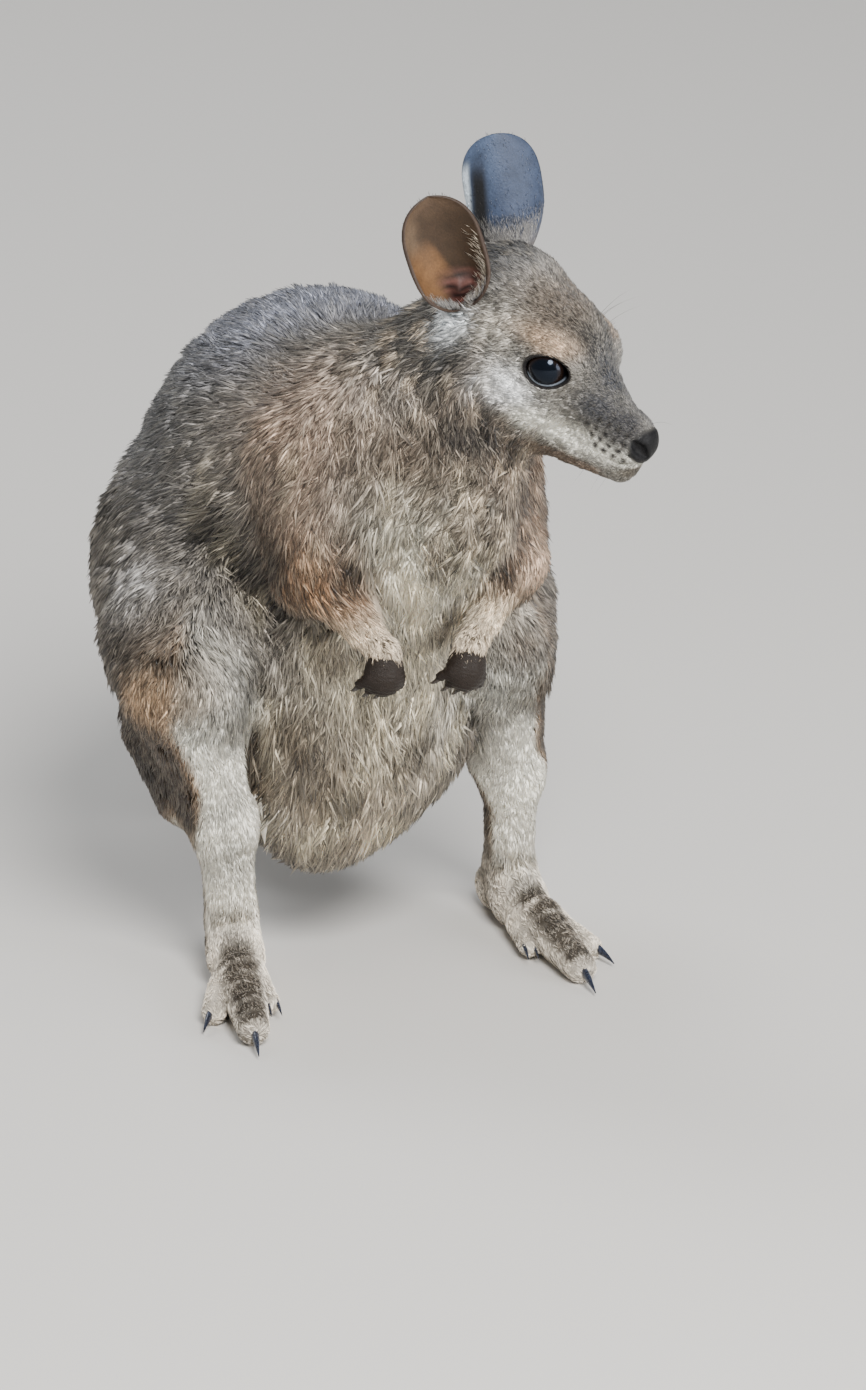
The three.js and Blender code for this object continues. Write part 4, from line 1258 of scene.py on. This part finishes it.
def ear_colours(name, h, turn, inside):
    """The skin of an ear, with painted light where light comes through the near part of its hollow."""
    n = len(h)
    h, turn = h[:, None], turn[:, None] * (1 if name == "right" else -1)
    grain = 1 + 0.10 * waves(np.c_[h * 60, turn * 20, np.full(n, inside)], 5, 31)
    grain = np.clip(grain + rng.normal(0, 0.05, n), 0.5, 1.5)
    if inside:
        c = np.tile(srgb(52, 39, 27), (n, 1))
        c = mix(c, srgb(84, 68, 52), ease(-turn, 0.35, 0.75) * ease(h, 0.5, 0.7))
        # painted light coming through the near part of the ear
        lit = ease(-turn + 0.9 * (0.45 - h), -0.02, 0.16) * ease(-h, -0.72, -0.5) * ease(h, 0.1, 0.2)
        c = mix(c, srgb(101, 73, 47), lit)
        c = mix(c, srgb(70, 54, 40), ease(h, 0.78, 0.98))
        deep = ease(-h, -0.42, -0.26) * ease(turn, -0.45, -0.1)
        folds = mix(srgb(26, 18, 18), srgb(92, 60, 54), 0.5 + 0.5 * np.sin(h * 75 + turn * 5))
        c = mix(c, folds, deep)
        c = mix(c, srgb(56, 44, 36), ease(np.abs(turn), 0.92, 1.0))
    else:
        c = np.tile(srgb(50, 60, 80), (n, 1))
        c = mix(c, srgb(64, 76, 98), ease(-turn + h, 0.5, 1.2))
        # painted shade and a painted highlight along the bend of the ear's back
        c = mix(c, srgb(22, 22, 24), ease(-np.abs(-turn - 0.54), -0.28, -0.08) * ease(-h, -0.95, -0.65))
        c = mix(c, srgb(206, 218, 228), ease(-turn, 0.74, 0.84) * ease(-h, -0.85, -0.7))
        c = mix(c, srgb(96, 90, 84), ease(-h, -0.35, -0.1))
        if name == "right":
            c = mix(c, srgb(92, 84, 78), 0.6)
            c = mix(c, srgb(58, 46, 38), np.maximum(ease(np.abs(turn), 0.86, 0.98), ease(h, 0.93, 0.99)))
    return c * grain[:, None].astype(F32)


def ear_hair(name, n, inside):
    """Short hair of an ear: thick on its foot and along its rim, thin elsewhere."""
    _, along, opening, side = ear_frame(name)
    h = rng.random(n * 3) ** 1.7
    turn = rng.uniform(-0.97, 0.97, n * 3)
    rim = np.abs(turn) ** 6
    if inside:
        front = turn if name == "right" else -turn
        wanted = 0.9 * ease(front, 0.5, 0.95) * ease(-h, -0.75, -0.35)
    else:
        wanted = 0.04 + ease(-h, -0.5, -0.2) + 0.12 * rim
    kept = rng.random(n * 3) < wanted
    h, turn = h[kept][:n], turn[kept][:n]
    skin = ear_points(name, h, turn, np.full(len(h), EAR_THICKNESS if inside else 0.0))
    curl, _ = ear_section(h)
    bend = (curl * turn)[:, None]
    normal = (side * np.sin(bend) - opening * np.cos(bend)) * (-1 if inside else 1)
    way = along * 0.9 + rng.normal(0, 0.22, (len(h), 3))
    if inside:
        way = way - np.sign(turn)[:, None] * (side * np.cos(bend) + opening * np.sin(bend)) * 0.8
    way = across(way, normal)
    long = rng.uniform(2.2, 4.6, len(h)) * (1.2 if inside else mix(1.6, 0.5, ease(h, 0.15, 0.5)))
    lift = np.ones(len(h)) if inside else mix(1.0, 0.45, ease(h, 0.15, 0.5))
    mid = skin + way * (long * 0.45)[:, None] + normal * (0.45 * lift)[:, None]
    tip = skin + way * long[:, None] + normal * (lift * (0.7 + 0.5 * rng.random(len(h))))[:, None]
    pale = srgb(178, 166, 148) if inside else srgb(128, 126, 124)
    colour = np.tile(pale, (len(h), 1))
    if not inside:
        colour = mix(colour, ear_colours(name, h, turn, False) * 1.25, ease(h, 0.2, 0.45)[:, None])
    wide = rng.uniform(0.12, 0.26, len(h))
    return skin - normal * 0.2, mid, tip, normal, wide, colour, np.stack([(turn + 1) / 2, h], 1)


for name in SIDES:
    rows, columns = 44, 36
    h = 1 - (1 - np.linspace(0, 1, rows + 1)) ** 1.6
    turn = np.linspace(-1, 1, columns + 1)
    hh, tt = (g.ravel() for g in np.meshgrid(h, turn, indexing="ij"))
    ring = len(turn) * 2
    layers, shades = [], []
    for inside in (False, True):
        crinkle = 0.18 * waves(np.c_[hh * 60, tt * 22, hh * 0], 9, 8)
        lobe = 4.5 * np.exp(-((hh - 0.22) / 0.07) ** 2 - ((tt - 0.1) / 0.22) ** 2)
        lobe = lobe + 2.0 * np.exp(-((hh - 0.2) / 0.12) ** 2 - ((tt - 0.6) / 0.12) ** 2)
        deep = np.full(len(hh), EAR_THICKNESS) + crinkle + lobe if inside else crinkle * 0.6
        layers.append(ear_points(name, hh, tt, deep).reshape(rows + 1, columns + 1, 3))
        shades.append(ear_colours(name, hh, tt, inside).reshape(rows + 1, columns + 1, 3))
    points = np.concatenate([layers[0], layers[1][:, ::-1]], 1)
    colours = np.concatenate([shades[0], shades[1][:, ::-1]], 1)
    n = np.arange(columns)
    foot = np.stack([n + 1, n, ring - 1 - n, ring - 2 - n], 1)
    quads = np.concatenate([wrapped_quads(rows, ring), foot, foot[:, ::-1] + rows * ring])
    make_mesh(
        f"ear_skin_{name}", points.reshape(-1, 3), quads, colours.reshape(-1, 3), EAR_SKIN,
        replaces=[f"ear_{name}"],
    )
    parts = [ear_hair(name, 5200, False), ear_hair(name, 1500, True)]
    sunk, mid, tip, normal, wide, colour, place = (np.concatenate(x) for x in zip(*parts))
    points, faces, colours = blades(sunk, mid, tip, normal, wide, grizzled(colour, 0, 0.16))
    make_mesh(f"coat_ear_{name}", points, faces, colours, FUR, uv=tuft_map(place))


# ---- eyes
BACKWARDS = [0, 3, 2, 1]  # a quad's corners the other way round


def globe(rows, columns):
    """Points and faces of a ball whose poles are on its first axis."""
    polar = np.linspace(0.001, math.pi - 0.001, rows + 1)
    polar, turn = np.meshgrid(polar, np.arange(columns) * 2 * math.pi / columns, indexing="ij")
    points = [np.cos(polar), np.sin(polar) * np.cos(turn), np.sin(polar) * np.sin(turn)]
    return np.stack(points, -1).reshape(-1, 3), wrapped_quads(rows, columns)[:, BACKWARDS]


for name, sign in SIDES.items():
    ball_points, quads = globe(48, 64)
    centre, axes = eye_frame(sign)
    seen = ball_points * EYE_RADIUS
    # the dark pupil with a faint painted reflection of the sky, a brown iris round it, and the pale rim of
    # the lower lid with a painted reflection on its wet edge
    off = np.hypot(seen[:, 1], seen[:, 2])
    iris = ease(off, 5.4, 6.4) * ease(-off, -8.4, -7.4)
    colours = mix(srgb(5, 7, 12), srgb(22, 14, 10), iris[:, None])
    lower = ease(lid_edge(seen), -1.2, -0.6) * ease(-seen[:, 2], 1.0, 3.4) * (seen[:, 0] > 0)
    colours = mix(colours, srgb(150, 160, 172), lower[:, None])
    if np.linalg.det(axes) < 0:
        quads = quads[:, ::-1]
    seen = centre + seen.astype(F32) @ axes
    make_mesh(f"eyeball_{name}", seen, quads, colours, EYEBALL, replaces=[f"eye_{name}"])


# ---- whiskers and lashes
def strands(name, roots, ways, lengths, thick, droop, colour):
    """Single long hairs, each a thin round taper that bends towards droop."""
    steps = np.linspace(0, 1, 7)
    ways = unit(ways)
    side = unit(np.cross(ways, vec(0.2, 0.3, 1)))
    other = np.cross(ways, side)
    points = []
    for t in steps:
        spine = roots + ways * (lengths * t)[:, None] + droop * (lengths * t * t)[:, None]
        for turn in (0, 2 * math.pi / 3, 4 * math.pi / 3):
            r = thick * (1 - 0.92 * t)
            points.append(spine + (side * math.cos(turn) + other * math.sin(turn)) * r)
    points = np.stack(points, 1)
    faces = np.arange(len(roots))[:, None, None] * points.shape[1] + wrapped_quads(len(steps) - 1, 3)
    shade = np.tile(srgb(*colour), (points.shape[0] * points.shape[1], 1))
    make_mesh(name, points.reshape(-1, 3), faces.reshape(-1, 4), shade, FUR)


def on_skin(places, inward):
    """Points moved along inward until they meet the skin."""
    for _ in range(12):
        places = places + inward * skin_value(places)[:, None] * 0.8
    return places


whisker_at, whisker_way, lash_at, lash_way = [], [], [], []
for name, sign in SIDES.items():
    for forward, up in whisker_roots()[::2]:
        whisker_at.append(head_at(forward, sign * 20, up))
        whisker_way.append(vec(rng.uniform(-0.5, 0.1), sign * 1.0, rng.uniform(-0.75, -0.05)) @ HEAD)
    for k in range(4):
        whisker_at.append(head_at(-55 + 3 * rng.normal(), sign * 22, 23 + rng.normal()))
        whisker_way.append(vec(rng.uniform(0.1, 0.5), sign * 0.7, rng.uniform(0.5, 1.0)) @ HEAD)
    centre, axes = eye_frame(sign)
    for ahead in np.linspace(-7.6, 8.4, 26):
        rise = 6.9 * max(1 - (abs(ahead - 0.6) / 9.0) ** 1.9, 0) ** (1 / 1.9) + 0.5
        out = math.sqrt(max((EYE_RADIUS + 1.0) ** 2 - ahead ** 2 - rise ** 2, 4))
        lash_at.append(centre + vec(out, ahead, rise) @ axes)
        lash_way.append(vec(0.85, ahead * 0.05 + rng.normal() * 0.08, 0.45) @ axes)
whisker_at, whisker_way, lash_at, lash_way = map(np.array, (whisker_at, whisker_way, lash_at, lash_way))
inward = np.sign(in_head(whisker_at)[:, 1:2]) * -HEAD[1]
long = rng.uniform(10, 26, len(whisker_at))
whisker_at = on_skin(whisker_at, inward)
strands("whiskers", whisker_at, whisker_way, long, 0.09, vec(0, 0, -0.25), (44, 38, 34))
long = rng.uniform(3.2, 5.2, len(lash_at))
strands("lashes", lash_at, lash_way, long, 0.13, vec(0, 0, 0.12), (20, 17, 16))


# ---- claws
def horn(root, tip, bend, radius):
    """A claw that tapers along a bend, deeper than it is wide."""
    rings, sides = 14, 16
    t = np.linspace(0, 1, rings + 1)[:, None]
    middle = mix(root, tip, 0.5) + bend
    spine = root * (1 - t) ** 2 + middle * 2 * t * (1 - t) + tip * t ** 2
    side = unit(np.cross(unit(tip - root), bend))
    up = np.cross(side, unit(tip - root))
    turn = np.arange(sides) * 2 * math.pi / sides
    r = (radius * (1 - 0.9 * t ** 1.4))[:, :, None] * 0.97
    ring = side * 0.72 * np.sin(turn)[:, None] + up * np.cos(turn)[:, None]
    points = (spine[:, None] + r * ring[None]).reshape(-1, 3)
    return points, wrapped_quads(rings, sides)[:, BACKWARDS], np.repeat(t[:, 0], sides)


def claw_piece(name, horns, base, end, nodes):
    """The claws of one foot or hand as a piece, shaded from their base to their end."""
    points, quads, shades = [], [], []
    for args in horns:
        p, f, t = horn(*args)
        quads.append(f + sum(map(len, points)))
        points.append(p)
        streak = 1 + 0.18 * rng.normal(size=len(t))
        shades.append(mix(srgb(*base), srgb(*end), t[:, None]) * streak[:, None])
    points = np.concatenate(points)
    points[:, 2] = np.maximum(points[:, 2], 0.05)
    shades = np.clip(np.concatenate(shades), 0, 1)
    make_mesh(name, points, np.concatenate(quads), shades, HORN, replaces=nodes)


# the root, the tip and the radius of each toe's claw, in the foot's axes
TOE_CLAWS = {
    "4": (vec(93, 1, 7), vec(113, 1, 2), 3.0), "5": (vec(66, 16, 6), vec(80, 21, 2), 2.6),
    "3": (vec(58, -8.8, 6.5), vec(69, -9.5, 3.5), 1.5), "2": (vec(58, -12.6, 6.5), vec(68, -14, 3.5), 1.5),
}
for name in SIDES:
    origin, axes = foot_frame(name)
    toes = [
        (origin + root @ axes, origin + tip @ axes, axes[2] * radius * 0.6, radius)
        for root, tip, radius in TOE_CLAWS.values()
    ]
    nodes = [f"toe_claw_{name}_{toe}" for toe in TOE_CLAWS]
    claw_piece(f"claws_foot_{name}", toes, (40, 46, 62), (20, 26, 42), nodes)
    origin, axes = hand_frame(name)
    fingers = []
    for i in range(-2, 3):
        _, (reach, tip, _) = finger_ends(i)
        root, end = vec(reach + 0.2, tip, -4.2) @ axes, vec(reach + 3.4, tip * 1.15, -10) @ axes
        fingers.append((origin + root, origin + end, axes[0] * 1.4, 1.5))
    nodes = [f"finger_claw_{name}_{i}" for i in range(1, 6)]
    claw_piece(f"claws_hand_{name}", fingers, (52, 42, 36), (24, 20, 20), nodes)

# ---- floor, light and camera
# the photo's view: its axes, how far off it is taken and where it aims, in mm
VIEW_RIGHT = vec(0.9135, -0.4067, 0)
VIEW_UP = vec(0.1257, 0.2823, 0.9511)
VIEW_BACK = vec(-0.3868, -0.8688, 0.3090)
VIEW_DISTANCE = 4500
VIEW_TARGET = 27.7 * VIEW_RIGHT + 113 * VIEW_UP
PICTURE_HEIGHT, PIXELS_PER_MM = 1390, 2.3
FRAME_HEIGHT = PICTURE_HEIGHT / PIXELS_PER_MM  # at the target

camera = bpy.data.objects.new("camera", bpy.data.cameras.new("camera"))
bpy.context.scene.collection.objects.link(camera)
camera.data.sensor_fit = "VERTICAL"
camera.data.sensor_height = 36
camera.data.lens = 36 * VIEW_DISTANCE / FRAME_HEIGHT
camera.data.clip_end = 50
place = (VIEW_TARGET + VIEW_DISTANCE * VIEW_BACK + SHIFT) * MM
camera.matrix_world = Matrix(
    [[*map(float, row)] for row in np.c_[np.stack([VIEW_RIGHT, VIEW_UP, VIEW_BACK], 1), place]]
    + [[0, 0, 0, 1]]
)
bpy.context.scene.camera = camera


def area_light(name, place, target, size, power, colour):
    light = bpy.data.lights.new(name, "AREA")
    light.shape = "DISK"
    light.size = size
    light.energy = power
    light.color = colour
    obj = bpy.data.objects.new(name, light)
    bpy.context.scene.collection.objects.link(obj)
    obj.location = place
    obj.rotation_euler = (Vector(target) - Vector(place)).to_track_quat("-Z", "Y").to_euler()


area_light("key", (-0.4, -2.3, 1.9), (0, -0.1, 0.2), 1.1, 132, (1, 0.99, 0.975))
area_light("fill", (1.3, -2.1, 0.6), (0, -0.1, 0.2), 1.4, 46, (0.99, 0.99, 1))
area_light("back", (-0.3, 1.6, 2.3), (0, 0, 0.2), 1.2, 34, (0.95, 0.97, 1))
world = bpy.data.worlds.new("world")
world.use_nodes = True
set_inputs(world.node_tree.nodes["Background"], {"Color": (0.86, 0.88, 0.9, 1), "Strength": 0.5})
bpy.context.scene.world = world

bpy.ops.mesh.primitive_plane_add(size=14, location=(0, 0, 0))
floor = bpy.context.object
floor.name = "floor"
floor_mat = bpy.data.materials.new("floor")
floor_mat.use_nodes = True
floor_look = {"Base Color": (0.62, 0.6, 0.57, 1), "Roughness": 0.8}
set_inputs(floor_mat.node_tree.nodes["Principled BSDF"], floor_look)
floor.data.materials.append(floor_mat)

bpy.context.view_layer.update()
